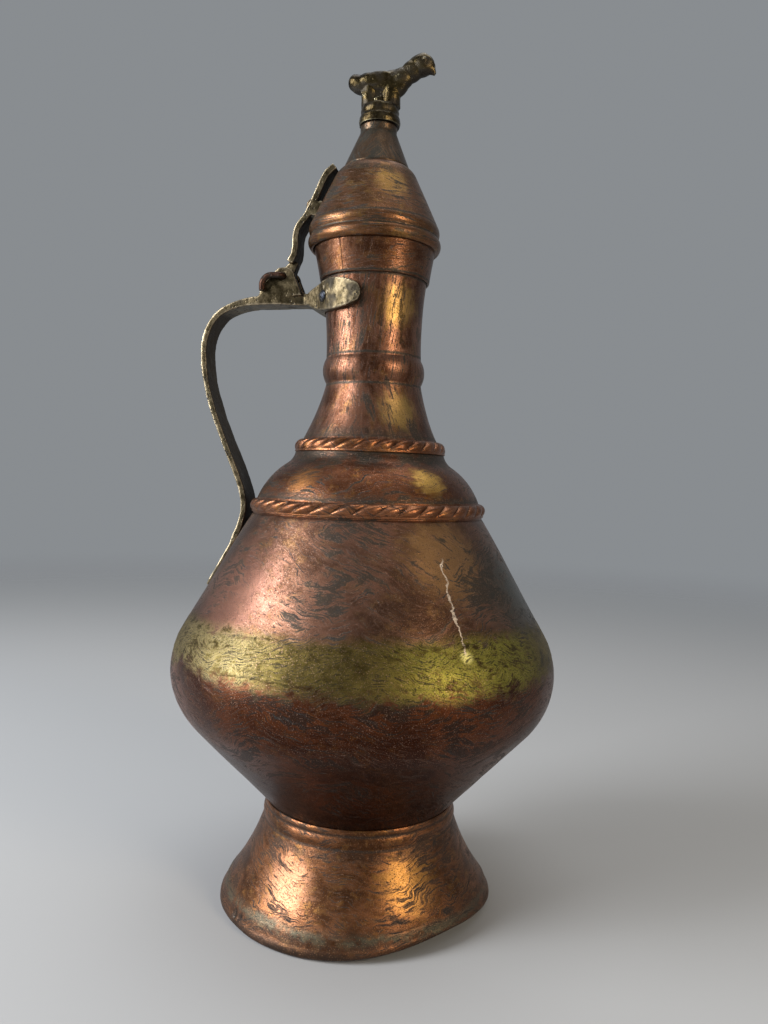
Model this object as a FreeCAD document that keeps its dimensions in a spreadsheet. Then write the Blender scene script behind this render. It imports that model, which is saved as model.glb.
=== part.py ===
import FreeCAD, Part
import math
import os
import re

import Sketcher

# A lidded copper jug with a cast brass handle. Millimetres, +Z up. The origin is on the
# jug's axis at the plane it rests on, and the handle lies in the XZ plane on the -X side.

sizes = {
    # copper sheet and the film of solder left between two sheets
    "wall": 1.2,
    "foot_wall": 0.9,
    "lid_wall": 1.0,
    "solder_gap": 0.05,
    # flared foot, its rolled rim and the wire inside the roll
    "rim_radius": 57.2,
    "rim_wire_radius": 0.9,
    "rim_wire_gap": 0.12,
    "rim_flat": 1.4,
    "rim_fold_angle": 50.0,
    "rim_end_angle": 145.0,
    "crease_radius": 54.8,
    "crease_height": 8.0,
    "foot_bead_radius": 39.9,
    "foot_bead_height": 35.0,
    "foot_bead_width": 4.6,
    "foot_lip_height": 2.3,
    "foot_lip_reach": 0.5,
    "foot_bead_swell": 0.24,
    "foot_flare_swell": 0.09,
    "solder_width": 5.5,
    # lower bowl
    "bowl_floor_drop": 2.0,
    "bowl_floor_radius": 19.5,
    "bowl_waist_radius": 37.8,
    "bowl_waist_rise": 5.9,
    "bowl_turn_radius": 71.2,
    "bowl_turn_height": 76.8,
    "belly_radius": 79.5,
    "belly_height": 97.5,
    "bowl_turn_swell": 0.208,
    "belly_lower_swell": 0.151,
    "belly_upper_swell": 0.05,
    "bowl_shoulder_fall": 4.5,
    "bowl_shoulder_drop": 0.34,
    "bowl_shoulder_swell": 0.038,
    # brazed seam round the belly
    "lap_rise": 12.0,
    "lap_drop": 2.8,
    "lap_height": 8.5,
    "seam_low_rise": 6.5,
    "seam_low_drop": 0.95,
    "seam_high_rise": 22.5,
    "seam_thickness": 0.35,
    "seam_edge": 0.12,
    # upper body, a cone up to the first rope ring
    "cone_start_drop": 4.4,
    "cone_start_rise": 15.6,
    "cone_top_radius": 47.8,
    "cone_length": 63.5,
    "cone_start_swell": 0.029,
    "collar_lap": 6.0,
    # shoulder dome between the two rope rings
    "dome_lap_radius": 46.1,
    "dome_turn_radius": 34.0,
    "dome_turn_rise": 20.6,
    "dome_top_radius": 30.9,
    "dome_height": 25.6,
    "dome_swell": 0.16,
    "dome_foot_swell": 0.2,
    # rope rings soldered over the joints
    "rope_overlap": 1.0,
    "rope_edge": 0.3,
    "rope_drop_reach": 0.35,
    "shoulder_rope_swell": 0.35,
    "neck_rope_swell": 0.3,
    # neck
    "neck_base_radius": 30.7,
    "neck_lap_radius": 27.9,
    "neck_lap": 4.9,
    "neck_flare_swell": 0.065,
    "neck_ring_radius": 19.7,
    "neck_ring_rise": 28.1,
    "neck_ring_width": 10.4,
    "neck_ring_swell": 0.28,
    "neck_waist_swell": 0.044,
    "neck_band_radius": 21.65,
    "neck_band_rise": 32.0,
    "mouth_radius": 23.95,
    "mouth_swell": 0.017,
    "band_width": 12.3,
    "band_wall": 1.0,
    # lid
    "lid_gap": 0.1,
    "lid_edge_radius": 26.3,
    "lid_bead_width": 5.3,
    "lid_ridge_width": 4.7,
    "lid_bead_swell": 0.45,
    "lid_ridge_swell": 0.3,
    "lid_shoulder_swell": 0.2,
    "lid_cone_radius": 17.0,
    "lid_cone_rise": 29.6,
    "lid_neck_rise": 34.0,
    "lid_lap": 4.5,
    "cap_edge_radius": 13.5,
    "cap_neck_radius": 7.5,
    "cap_neck_rise": 14.2,
    "cap_rise": 17.2,
    "sleeve_radius": 20.2,
    "sleeve_depth": 4.5,
    "sleeve_wall": 0.8,
    # cast bird on its collar
    "collar_radius": 8.4,
    "collar_height": 8.0,
    "bird_height": 21.3,
    "bird_half_width": 3.9,
    "stem_radius": 2.0,
    "stem_head_radius": 3.3,
    "washer_radius": 5.2,
    "washer_thickness": 1.0,
    # handle: arm, grip and lower tongue
    "arm_below_mouth": 22.4,
    "arm_thickness": 3.4,
    "grip_thickness": 2.4,
    "grip_width": 12.0,
    "grip_reach": 70.6,
    "grip_waist_reach": 51.0,
    "grip_waist_rise": 14.5,
    "tongue_width": 14.5,
    "tongue_tip_drop": 33.2,
    "tongue_length": 21.2,
    "tongue_thickness": 1.6,
    "tongue_seat_lift": 0.2,
    "riser_gap": 0.3,
    # fork and its two lugs round the neck
    "fork_root_reach": 29.0,
    "fork_root_width": 8.0,
    "fork_meet_angle": 26.0,
    "lug_rise": 1.7,
    "lug_height": 12.9,
    "lug_ring_radius": 21.2,
    "lug_thickness": 2.4,
    "lug_gap": 0.05,
    "lug_leaf_swell": 0.29,
    "lug_tip_swell": 0.35,
    "lug_end_reach": 1.2,
    # hinge
    "hinge_reach": 38.0,
    "hinge_rise": 12.0,
    "pin_radius": 1.3,
    "pin_clearance": 0.05,
    "ear_radius": 3.8,
    "ear_thickness": 3.0,
    "slot_width": 5.4,
    "knuckle_radius": 3.5,
    "knuckle_side_gap": 0.2,
    "pin_tail_reach": 8.3,
    "pin_tail_drop": 6.4,
    # lid strap
    "strap_width": 11.0,
    "strap_thickness": 2.6,
    "strap_boss": 2.8,
    "strap_pad_bottom": 14.4,
    "strap_pad_length": 5.6,
    # rivets
    "rivet_radius": 1.5,
    "rivet_head_radius": 2.6,
    "rivet_head_height": 1.2,
    "rivet_clearance": 0.05,
    "lug_rivet_angle": 38.0,
    "drill_depth": 12.0,
    "lid_rivet_spread": 5.6,
    "base_rivet_rise": 5.2,
    "base_rivet_pitch": 9.5,
}

doc = FreeCAD.newDocument("copper_jug")
sheet = doc.addObject("Spreadsheet::Sheet", "Sizes")
for row, (alias, number) in enumerate(sizes.items(), start=1):
    sheet.set("A%d" % row, alias)
    sheet.set("B%d" % row, str(number))
    sheet.setAlias("B%d" % row, alias)
doc.recompute()


class Size:
    """A number that remembers the sheet formula it came from, so sketches can be bound to it."""

    def __init__(self, number, formula=None):
        self.number = float(number)
        self.formula = formula or "%.9g" % number

    def __add__(self, other):
        return combine(self, "+", other)

    def __radd__(self, other):
        return combine(other, "+", self)

    def __sub__(self, other):
        return combine(self, "-", other)

    def __rsub__(self, other):
        return combine(other, "-", self)

    def __mul__(self, other):
        return combine(self, "*", other)

    def __rmul__(self, other):
        return combine(other, "*", self)

    def __truediv__(self, other):
        return combine(self, "/", other)

    def __neg__(self):
        return combine(0.0, "-", self)


def as_size(value):
    return value if isinstance(value, Size) else Size(value)


def combine(left, sign, right):
    left = as_size(left)
    right = as_size(right)
    answers = {
        "+": lambda a, b: a + b,
        "-": lambda a, b: a - b,
        "*": lambda a, b: a * b,
        "/": lambda a, b: a / b,
    }
    number = answers[sign](left.number, right.number)
    return Size(number, "(%s %s %s)" % (left.formula, sign, right.formula))


def root(value):
    return Size(math.sqrt(value.number), "sqrt(%s)" % value.formula)


def sine(degrees):
    return Size(math.sin(math.radians(degrees.number)), "sin(%s * 1deg)" % degrees.formula)


def cosine(degrees):
    return Size(math.cos(math.radians(degrees.number)), "cos(%s * 1deg)" % degrees.formula)


class Named:
    """The cells of the sheet as attributes: d.wall is the cell called wall."""

    def __getattr__(self, alias):
        return Size(sizes[alias], "Sizes." + alias)


d = Named()


# Helpers: bodies, outlines and booleans

def new_body(name):
    body = doc.addObject("PartDesign::Body", re.sub(r"[^A-Za-z0-9]", "_", name))
    body.Label = name
    return body


def origin_plane(body, role):
    return [item for item in body.Origin.OriginFeatures if item.Role == role][0]


def outline(body, corners, plane="XZ_Plane", name="outline"):
    """A closed outline. A corner is (x, y) or (x, y, bulge): the side that leaves a corner with a
    bulge is an arc that swells to the right of its direction by bulge times half its chord."""
    sketch = body.newObject("Sketcher::SketchObject", body.Name + "_" + name)
    sketch.AttachmentSupport = [(origin_plane(body, plane), "")]
    sketch.MapMode = "FlatFace"
    corners = [(as_size(c[0]), as_size(c[1]), c[2] if len(c) > 2 else 0.0) for c in corners]
    joints = []
    for index, (x, y, bulge) in enumerate(corners):
        next_x, next_y, _ = corners[(index + 1) % len(corners)]
        start = FreeCAD.Vector(x.number, y.number, 0)
        end = FreeCAD.Vector(next_x.number, next_y.number, 0)
        if bulge:
            mid_x = (x + next_x) / 2 + (next_y - y) * (bulge / 2)
            mid_y = (y + next_y) / 2 - (next_x - x) * (bulge / 2)
            middle = FreeCAD.Vector(mid_x.number, mid_y.number, 0)
            side = sketch.addGeometry(Part.Arc(start, middle, end), False)
            mark = sketch.addGeometry(Part.Point(middle), True)
            place(sketch, mark, 1, mid_x, mid_y)
            sketch.addConstraint(Sketcher.Constraint("PointOnObject", mark, 1, side))
        else:
            side = sketch.addGeometry(Part.LineSegment(start, end), False)
        forward = (sketch.getPoint(side, 1) - start).Length < (sketch.getPoint(side, 2) - start).Length
        joints.append((side, 1 if forward else 2, 2 if forward else 1))
        place(sketch, side, joints[-1][1], x, y)
    for index, (side, _, end_of_side) in enumerate(joints):
        next_side, start_of_next, _ = joints[(index + 1) % len(joints)]
        sketch.addConstraint(Sketcher.Constraint("Coincident", side, end_of_side, next_side, start_of_next))
    return sketch


def place(sketch, geometry, point, x, y):
    for kind, value in (("DistanceX", x), ("DistanceY", y)):
        index = sketch.addConstraint(Sketcher.Constraint(kind, -1, 1, geometry, point, value.number))
        sketch.setExpression("Constraints[%d]" % index, value.formula)


def revolved(name, corners):
    """A body turned about the Z axis from a closed outline of (radius, height) corners."""
    body = new_body(name)
    sketch = outline(body, corners)
    turn = body.newObject("PartDesign::Revolution", body.Name + "_turn")
    turn.Profile = sketch
    turn.ReferenceAxis = (sketch, ["V_Axis"])
    turn.Angle = 360.0
    sketch.Visibility = False
    return body


def padded(name, corners, width, plane="XZ_Plane", centred=True, offset=None):
    """A body cut from a plate: a closed outline padded by width, to both sides or from an offset."""
    body = new_body(name)
    sketch = outline(body, corners, plane)
    pad = body.newObject("PartDesign::Pad", body.Name + "_pad")
    pad.Profile = sketch
    width = as_size(width)
    pad.setExpression("Length", width.formula)
    if centred:
        pad.SideType = "Symmetric"
    if offset is not None:
        offset = as_size(offset)
        sketch.setExpression(".AttachmentOffset.Base.z", offset.formula)
    sketch.Visibility = False
    return body


def boolean(kind, name, shapes):
    result = doc.addObject("Part::" + kind, re.sub(r"[^A-Za-z0-9]", "_", name))
    result.Label = name
    if kind == "Cut":
        result.Base, result.Tool = shapes
    else:
        result.Shapes = shapes
    return result


def rod(name, radius, length, place_at):
    """A plain cylinder used as a drill, along the local Z of its placement."""
    drill = doc.addObject("Part::Cylinder", name)
    drill.setExpression("Radius", as_size(radius).formula)
    drill.setExpression("Height", as_size(length).formula)
    drill.Placement = place_at
    return drill


def facing(point, direction):
    """A placement at a point with its local Z turned to a direction."""
    turn = FreeCAD.Rotation(FreeCAD.Vector(0, 0, 1), FreeCAD.Vector(*direction))
    return FreeCAD.Placement(FreeCAD.Vector(*point), turn)


def cap_bulge(radius, height):
    """The bulge of an arc from a rim to the axis that makes a cap of a sphere."""
    ball = (radius.number ** 2 + height.number ** 2) / (2 * height.number)
    return math.tan(math.asin(radius.number / ball) / 4)


def arc_at(start, end, bulge, height):
    """The x of an upright arc at a height: the arc runs from start to end and swells by its bulge."""
    x0, y0, x1, y1 = [as_size(value).number for value in start + end]
    chord = math.hypot(x1 - x0, y1 - y0)
    radius = chord / 4 * (bulge + 1 / bulge)
    inward = radius - bulge * chord / 2
    centre_x = (x0 + x1) / 2 - inward * (y1 - y0) / chord
    centre_y = (y0 + y1) / 2 + inward * (x1 - x0) / chord
    return centre_x + math.copysign(math.sqrt(radius ** 2 - (height - centre_y) ** 2), radius)


def rivet(name, grip, place_at):
    """A rivet with a low dome outside and a flatter peened head inside. Local Z = 0 is the face
    under the dome, and the sheets it holds lie below that for the length of the grip."""
    body = revolved(name, [
        (0, -grip - d.rivet_head_height * 0.7),
        (d.rivet_head_radius * 0.8, -grip - d.rivet_head_height * 0.45, 0.15),
        (d.rivet_head_radius * 0.9, -grip),
        (d.rivet_radius, -grip),
        (d.rivet_radius, 0),
        (d.rivet_head_radius, 0, cap_bulge(d.rivet_head_radius, d.rivet_head_height)),
        (0, d.rivet_head_height),
    ])
    body.Placement = place_at
    return body


def compound(name, parts):
    group = doc.addObject("Part::Compound", name)
    group.Label = name
    group.Links = parts
    return group


# Heights that several pieces share

bowl_floor_z = d.foot_bead_height - d.bowl_floor_drop
bowl_waist_z = d.foot_bead_height + d.bowl_waist_rise
belly_z = d.belly_height
lap_z = belly_z + d.lap_rise
cone_top_z = belly_z + d.cone_length
dome_top_z = cone_top_z + d.dome_height
neck_ring_z = dome_top_z + d.neck_ring_rise
neck_ring_top_z = neck_ring_z + d.neck_ring_width
band_z = neck_ring_top_z + d.neck_band_rise
mouth_z = band_z + d.band_width
lid_z = mouth_z + d.lid_gap
lid_ridge_z = lid_z + d.lid_bead_width
lid_cone_z = lid_ridge_z + d.lid_ridge_width
cap_z = lid_z + d.lid_neck_rise
cap_top_z = cap_z + d.cap_rise
arm_z = mouth_z - d.arm_below_mouth
lug_z = arm_z + d.lug_rise
hinge_z = arm_z + d.hinge_rise
tongue_tip_z = cone_top_z - d.tongue_tip_drop
tongue_top_z = tongue_tip_z + d.tongue_length
grip_waist_z = tongue_top_z + d.grip_waist_rise
base_rivet_low_z = tongue_tip_z + d.base_rivet_rise
base_rivet_high_z = base_rivet_low_z + d.base_rivet_pitch
step = d.wall + d.solder_gap


# Sheet metal: an outer line with its wall turned inwards from it

def walled(chain, wall):
    """Corners of a sheet from its outer line, given upwards. An entry is (x, y, bulge, lean): the lean
    says how many walls the inner face lies from the outer one at that corner, sideways and upwards."""
    chain = [(c[0], c[1], c[2] if len(c) > 2 else 0.0, c[3] if len(c) > 3 else (-1.0, 0.0)) for c in chain]
    outer = [(x, y, bulge) for x, y, bulge, _ in chain]
    inner = [(x + wall * lean[0], y + wall * lean[1]) for x, y, _, lean in chain]
    back = [inner[-1] + (-chain[-2][2],)]
    for index in range(len(chain) - 2, 0, -1):
        back.append(inner[index] + (-chain[index - 1][2],))
    back.append(inner[0])
    return outer[:-1] + [(outer[-1][0], outer[-1][1], 0.0)] + back


# Foot: a flared skirt with two beads at its top, its lower edge rolled round a wire

def build_foot():
    hollow = d.rim_wire_radius + d.rim_wire_gap
    roll = hollow + d.foot_wall
    roll_z = root(roll * roll - d.rim_flat * d.rim_flat / 4)
    centre = d.rim_radius - roll

    def on_roll(radius, degrees):
        return (centre + radius * cosine(degrees), roll_z + radius * sine(degrees))

    def sweep_bulge(degrees):
        return math.tan(math.radians(degrees) / 4)

    flat_angle = math.degrees(math.asin(roll_z.number / roll.number))
    fold = d.rim_fold_angle.number
    end = d.rim_end_angle.number
    fold_in = d.rim_fold_angle + 45.0
    bead_top = d.foot_bead_height + d.foot_bead_width
    groove = d.foot_bead_radius - d.foot_lip_reach
    flare = d.foot_flare_swell
    bead = d.foot_bead_swell
    revolved("foot_skirt", [
        (d.foot_bead_radius, d.foot_bead_height, bead),
        (groove, bead_top, bead),
        (groove, bead_top + d.foot_lip_height),
        (groove - d.foot_wall * 0.6, bead_top + d.foot_lip_height),
        (groove - d.foot_wall, bead_top, -bead),
        (d.foot_bead_radius - d.foot_wall, d.foot_bead_height, flare),
        (d.crease_radius - d.foot_wall, d.crease_height),
        on_roll(hollow, fold_in) + (-sweep_bulge(360 - end + fold_in.number),),
        on_roll(hollow, d.rim_end_angle),
        on_roll(roll, d.rim_end_angle) + (sweep_bulge(180 + flat_angle - end),),
        (centre - d.rim_flat / 2, 0),
        (centre + d.rim_flat / 2, 0, sweep_bulge(flat_angle + fold)),
        on_roll(roll, d.rim_fold_angle),
        (d.crease_radius, d.crease_height, -flare),
    ])
    wire = doc.addObject("Part::Torus", "foot_rim_wire")
    wire.setExpression("Radius1", centre.formula)
    wire.setExpression("Radius2", d.rim_wire_radius.formula)
    wire.setExpression(".Placement.Base.z", roll_z.formula)

    # the fillet of solder between the foot's top and the bowl that stands in it
    foot_inside = d.foot_bead_radius - d.foot_wall - d.solder_gap
    solder_low = d.foot_bead_height + 0.6
    solder_high = bead_top - 1.0
    film = d.solder_gap
    blank = revolved("solder_blank", [
        (foot_inside - d.solder_width, solder_low + 0.6),
        (foot_inside, solder_low),
        (foot_inside, solder_high),
        (foot_inside - 0.6, solder_high + 1.0),
        (foot_inside - d.solder_width, solder_high + 1.0),
    ])
    bowl_space = revolved("bowl_space", [
        (0, bowl_floor_z - film),
        (d.bowl_floor_radius, bowl_floor_z - film, d.bowl_turn_swell),
        (d.bowl_waist_radius + film, bowl_waist_z - film),
        (d.bowl_waist_radius + film, bowl_waist_z + 9.0),
        (0, bowl_waist_z + 9.0),
    ])
    boolean("Cut", "foot_solder_ring", [blank, bowl_space])


# Body: bowl, cone, dome and neck, each sheet lapped inside the one above

cone_slope = (d.belly_radius - d.cone_start_drop - d.cone_top_radius) / (d.cone_length - d.cone_start_rise)


def cone_at(height):
    """The outside radius of the upper body's cone at a height."""
    return d.cone_top_radius + cone_slope * (cone_top_z - height)


def build_body():
    into_bowl = (-0.73, 0.68)
    above = d.belly_upper_swell
    revolved("lower_bowl", walled([
        (0, bowl_floor_z, 0, (0, 1)),
        (d.bowl_floor_radius, bowl_floor_z, d.bowl_turn_swell, (0, 1)),
        (d.bowl_waist_radius, bowl_waist_z, 0, into_bowl),
        (d.bowl_turn_radius, d.bowl_turn_height, d.belly_lower_swell, into_bowl),
        (d.belly_radius - d.bowl_shoulder_drop, belly_z - d.bowl_shoulder_fall, d.bowl_shoulder_swell),
        (d.belly_radius, belly_z, above),
        (d.belly_radius - d.seam_low_drop, belly_z + d.seam_low_rise, above),
        (d.belly_radius - d.lap_drop, lap_z, 0, (-1, -2)),
        (d.belly_radius - step - d.lap_drop, lap_z, d.cone_start_swell),
        (d.belly_radius - step - d.cone_start_drop, belly_z + d.cone_start_rise),
        (cone_at(lap_z + d.lap_height) - step, lap_z + d.lap_height),
    ], d.wall))
    revolved("upper_body", walled([
        (d.belly_radius - d.lap_drop, lap_z + d.solder_gap, d.cone_start_swell),
        (d.belly_radius - d.cone_start_drop, belly_z + d.cone_start_rise),
        (d.cone_top_radius, cone_top_z, 0, (0.1, -2)),
        (d.cone_top_radius - step, cone_top_z),
        (d.dome_lap_radius - step, cone_top_z + d.collar_lap),
    ], d.wall))
    dome_turn_z = cone_top_z + d.dome_turn_rise
    revolved("shoulder_dome", walled([
        (d.cone_top_radius, cone_top_z + d.solder_gap),
        (d.dome_lap_radius, cone_top_z + d.collar_lap, d.dome_swell),
        (d.dome_turn_radius, dome_turn_z, -d.dome_foot_swell, (-0.7, -0.7)),
        (d.dome_top_radius, dome_top_z, 0, (-1, -1.5)),
        (d.neck_base_radius - step, dome_top_z),
        (d.neck_lap_radius - step, dome_top_z + d.neck_lap),
    ], d.wall))
    tube = revolved("neck_tube_sheet", walled([
        (d.neck_base_radius, dome_top_z + d.solder_gap),
        (d.neck_lap_radius, dome_top_z + d.neck_lap, -d.neck_flare_swell),
        (d.neck_ring_radius, neck_ring_z, d.neck_ring_swell),
        (d.neck_ring_radius, neck_ring_top_z, -d.neck_waist_swell),
        (d.neck_band_radius, band_z, -d.mouth_swell),
        (d.mouth_radius, mouth_z),
    ], d.wall))
    band = d.solder_gap + d.band_wall
    revolved("neck_band", walled([
        (d.neck_band_radius + band, band_z, -d.mouth_swell),
        (d.mouth_radius + band, mouth_z),
    ], d.band_wall))
    return tube


def build_seam_and_ropes():
    low = d.belly_radius - d.seam_low_drop + d.solder_gap
    low_z = belly_z + d.seam_low_rise
    lap = d.belly_radius - d.lap_drop + d.solder_gap
    start = d.belly_radius - d.cone_start_drop + d.solder_gap
    start_z = belly_z + d.cone_start_rise
    high_z = belly_z + d.seam_high_rise
    high = cone_at(high_z) + d.solder_gap
    revolved("belly_braze_seam", [
        (low, low_z),
        (low + d.seam_edge, low_z, d.belly_upper_swell),
        (lap + d.seam_thickness, lap_z, d.cone_start_swell),
        (start + d.seam_thickness, start_z),
        (high + d.seam_edge, high_z),
        (high, high_z),
        (start, start_z, -d.cone_start_swell),
        (lap, lap_z, -d.belly_upper_swell),
    ])
    overlap = d.rope_overlap
    below = cone_at(cone_top_z - overlap) + d.solder_gap
    top = d.dome_lap_radius + d.solder_gap
    revolved("shoulder_rope_ring", [
        (below, cone_top_z - overlap),
        (below + d.rope_edge, cone_top_z - overlap, d.shoulder_rope_swell),
        (top + d.rope_edge, cone_top_z + d.collar_lap),
        (top, cone_top_z + d.collar_lap),
        (d.cone_top_radius + 2 * d.solder_gap, cone_top_z),
    ])
    below = d.dome_top_radius + 2 * d.solder_gap
    top = d.neck_lap_radius + 2 * d.solder_gap
    revolved("neck_rope_ring", [
        (below + d.rope_drop_reach, dome_top_z - overlap),
        (below + d.rope_drop_reach + d.rope_edge, dome_top_z - overlap, d.neck_rope_swell),
        (top + d.rope_edge, dome_top_z + d.neck_lap),
        (top, dome_top_z + d.neck_lap),
        (below, dome_top_z),
    ])


# Lid: a cone with two mouldings, a cap lapped over it and a sleeve that enters the mouth

lid_slope = (d.lid_edge_radius - d.lid_cone_radius) / (d.lid_cone_rise - d.lid_bead_width - d.lid_ridge_width)
cap_slope = (d.cap_edge_radius - d.cap_neck_radius) / d.cap_neck_rise


def lid_cone_at(height):
    """The outside radius of the lid's cone at a height."""
    return d.lid_edge_radius - lid_slope * (height - lid_cone_z)


def build_lid():
    neck = d.cap_edge_radius - d.lid_wall - d.solder_gap
    cone = revolved("lid_cone_sheet", walled([
        (d.lid_edge_radius, lid_z, d.lid_bead_swell),
        (d.lid_edge_radius, lid_ridge_z, d.lid_ridge_swell),
        (d.lid_edge_radius, lid_cone_z),
        (d.lid_cone_radius, lid_z + d.lid_cone_rise, d.lid_shoulder_swell, (-0.9, -0.3)),
        (neck, cap_z, 0, (-1, -0.6)),
        (neck - cap_slope * d.lid_lap, cap_z + d.lid_lap),
    ], d.lid_wall))
    stem_hole = d.stem_radius + d.rivet_clearance
    revolved("lid_cap", walled([
        (d.cap_edge_radius, cap_z),
        (d.cap_neck_radius, cap_z + d.cap_neck_rise),
        (d.cap_neck_radius, cap_top_z, 0, (-1, -1)),
        (stem_hole, cap_top_z, 0, (0, -1)),
    ], d.lid_wall))
    flange = d.lid_edge_radius - d.lid_wall - d.solder_gap
    inside = d.sleeve_radius - d.sleeve_wall
    revolved("lid_sleeve", [
        (d.sleeve_radius, lid_z - d.sleeve_depth),
        (d.sleeve_radius, lid_z),
        (flange, lid_z),
        (flange, lid_z + d.sleeve_wall),
        (inside, lid_z + d.sleeve_wall),
        (inside, lid_z - d.sleeve_depth),
    ])
    return cone


# Finial: a small cast bird on a collar, its stem peened over a washer inside the cap

def build_finial():
    washer_top = cap_top_z - d.lid_wall
    washer_low = washer_top - d.washer_thickness
    collar = d.collar_height
    revolved("finial_washer", [
        (d.stem_radius + d.rivet_clearance, washer_low),
        (d.washer_radius, washer_low),
        (d.washer_radius, washer_top),
        (d.stem_radius + d.rivet_clearance, washer_top),
    ])
    base = revolved("finial_base", [
        (0, washer_low - d.rivet_head_height),
        (d.stem_head_radius * 0.6, washer_low - d.rivet_head_height, 0.2),
        (d.stem_head_radius, washer_low),
        (d.stem_radius, washer_low),
        (d.stem_radius, cap_top_z),
        (d.collar_radius, cap_top_z),
        (d.collar_radius, cap_top_z + collar * 0.4, -0.2),
        (d.collar_radius * 0.94, cap_top_z + collar * 0.62, 0.25),
        (d.collar_radius * 0.84, cap_top_z + collar),
        (0, cap_top_z + collar),
    ])
    # the bird from tail to beak: how far along, how low, how high and how wide at each station,
    # in parts of a bird that stands 21.6 high from the collar's top to its crown
    stations = [
        (-13.3, 10.0, 12.4, 0.25), (-12.2, 7.6, 13.7, 0.62), (-10.4, 6.2, 14.1, 0.8), (-5.4, 5.0, 13.0, 0.92),
        (0.5, 4.5, 14.2, 1.0), (5.6, 3.6, 15.3, 0.98), (9.2, 4.6, 16.6, 0.9), (12.2, 8.4, 19.2, 0.78),
        (15.0, 10.8, 21.0, 0.82), (18.0, 12.2, 21.6, 0.85), (20.6, 12.6, 19.9, 0.62), (22.6, 12.2, 16.9, 0.28),
    ]
    unit = d.bird_height.number / 21.6
    foot = (cap_top_z + collar).number
    rings = []
    for along, low, high, wide in stations:
        centre = FreeCAD.Vector(unit * along, 0, foot + unit * (low + high) / 2)
        half_width = d.bird_half_width.number * wide
        half_height = unit * (high - low) / 2
        upright = FreeCAD.Vector(0, 0, half_height)
        sideways = FreeCAD.Vector(0, half_width, 0)
        if half_height > half_width:
            ring = Part.Ellipse(centre + upright, centre + sideways, centre)
        else:
            ring = Part.Ellipse(centre + sideways, centre + upright, centre)
        rings.append(Part.Wire([ring.toShape()]))
    bird = doc.addObject("Part::Feature", "bird_body")
    bird.Shape = Part.makeLoft(rings, True, False)
    legs = []
    for name, along, lean, wide in (("hind_leg", -3.4, -4.4, 3.4), ("fore_leg", 4.0, 3.2, 3.6)):
        body = new_body(name)
        sketch = outline(body, [
            (unit * (along - wide), foot - 0.5),
            (unit * (along + wide), foot - 0.5),
            (unit * (along + wide * 0.9), foot + unit * 3.0, 0.1),
            (unit * (lean + wide * 1.2), foot + unit * 8.0),
            (unit * (lean - wide * 1.2), foot + unit * 8.0, 0.1),
            (unit * (along - wide * 0.9), foot + unit * 3.0),
        ])
        pad = body.newObject("PartDesign::Pad", name + "_pad")
        pad.Profile = sketch
        pad.SideType = "Symmetric"
        pad.setExpression("Length", (d.bird_half_width * 1.3).formula)
        legs.append(body)
    boolean("MultiFuse", "bird_finial", [base, bird] + legs)


# Cast straps: a route for the inner face, thickened outwards

def strap_outline(route):
    """Corners of a strap in the XZ plane. The route is the inner face as (reach, height, thickness),
    the reach measured from the jug's axis towards -X. Each side is an arc that joins smoothly, and a
    fourth value, a rise per reach, fixes the slope where the strap lies on a straight cone."""
    points = [FreeCAD.Vector(-as_size(entry[0]).number, as_size(entry[1]).number, 0) for entry in route]
    count = len(points)
    tangents = []
    for index in range(count):
        tangent = (points[min(index + 1, count - 1)] - points[max(index - 1, 0)]).normalize()
        if len(route[index]) > 3:
            along = FreeCAD.Vector(-1, -1 / route[index][3].number, 0).normalize()
            tangent = along if along.dot(tangent) > 0 else along * -1
        tangents.append(tangent)
    bulges = []
    for index in range(count - 1):
        chord = (points[index + 1] - points[index]).normalize()
        turn = signed_angle(tangents[index], chord) + signed_angle(chord, tangents[index + 1])
        bulges.append(math.tan(turn / 4) if abs(turn) > 1e-6 else 0.0)
    inner = [(-as_size(entry[0]), as_size(entry[1])) for entry in route]
    outer = []
    for (x, y), entry, tangent in zip(inner, route, tangents):
        outer.append((x + entry[2] * tangent.y, y - entry[2] * tangent.x))
    corners = [inner[i] + (bulges[i],) for i in range(count - 1)] + [inner[-1]]
    corners += [outer[i] + (-bulges[i - 1],) for i in range(count - 1, 0, -1)] + [outer[0]]
    return corners


def signed_angle(first, second):
    return math.atan2(first.x * second.y - first.y * second.x, first.x * second.x + first.y * second.y)


# Handle: one brass casting of arm, grip, tongue, fork and two hinge ears

ear_outside = d.slot_width / 2 + d.ear_thickness
neck_face = d.solder_gap + d.lug_gap


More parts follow.
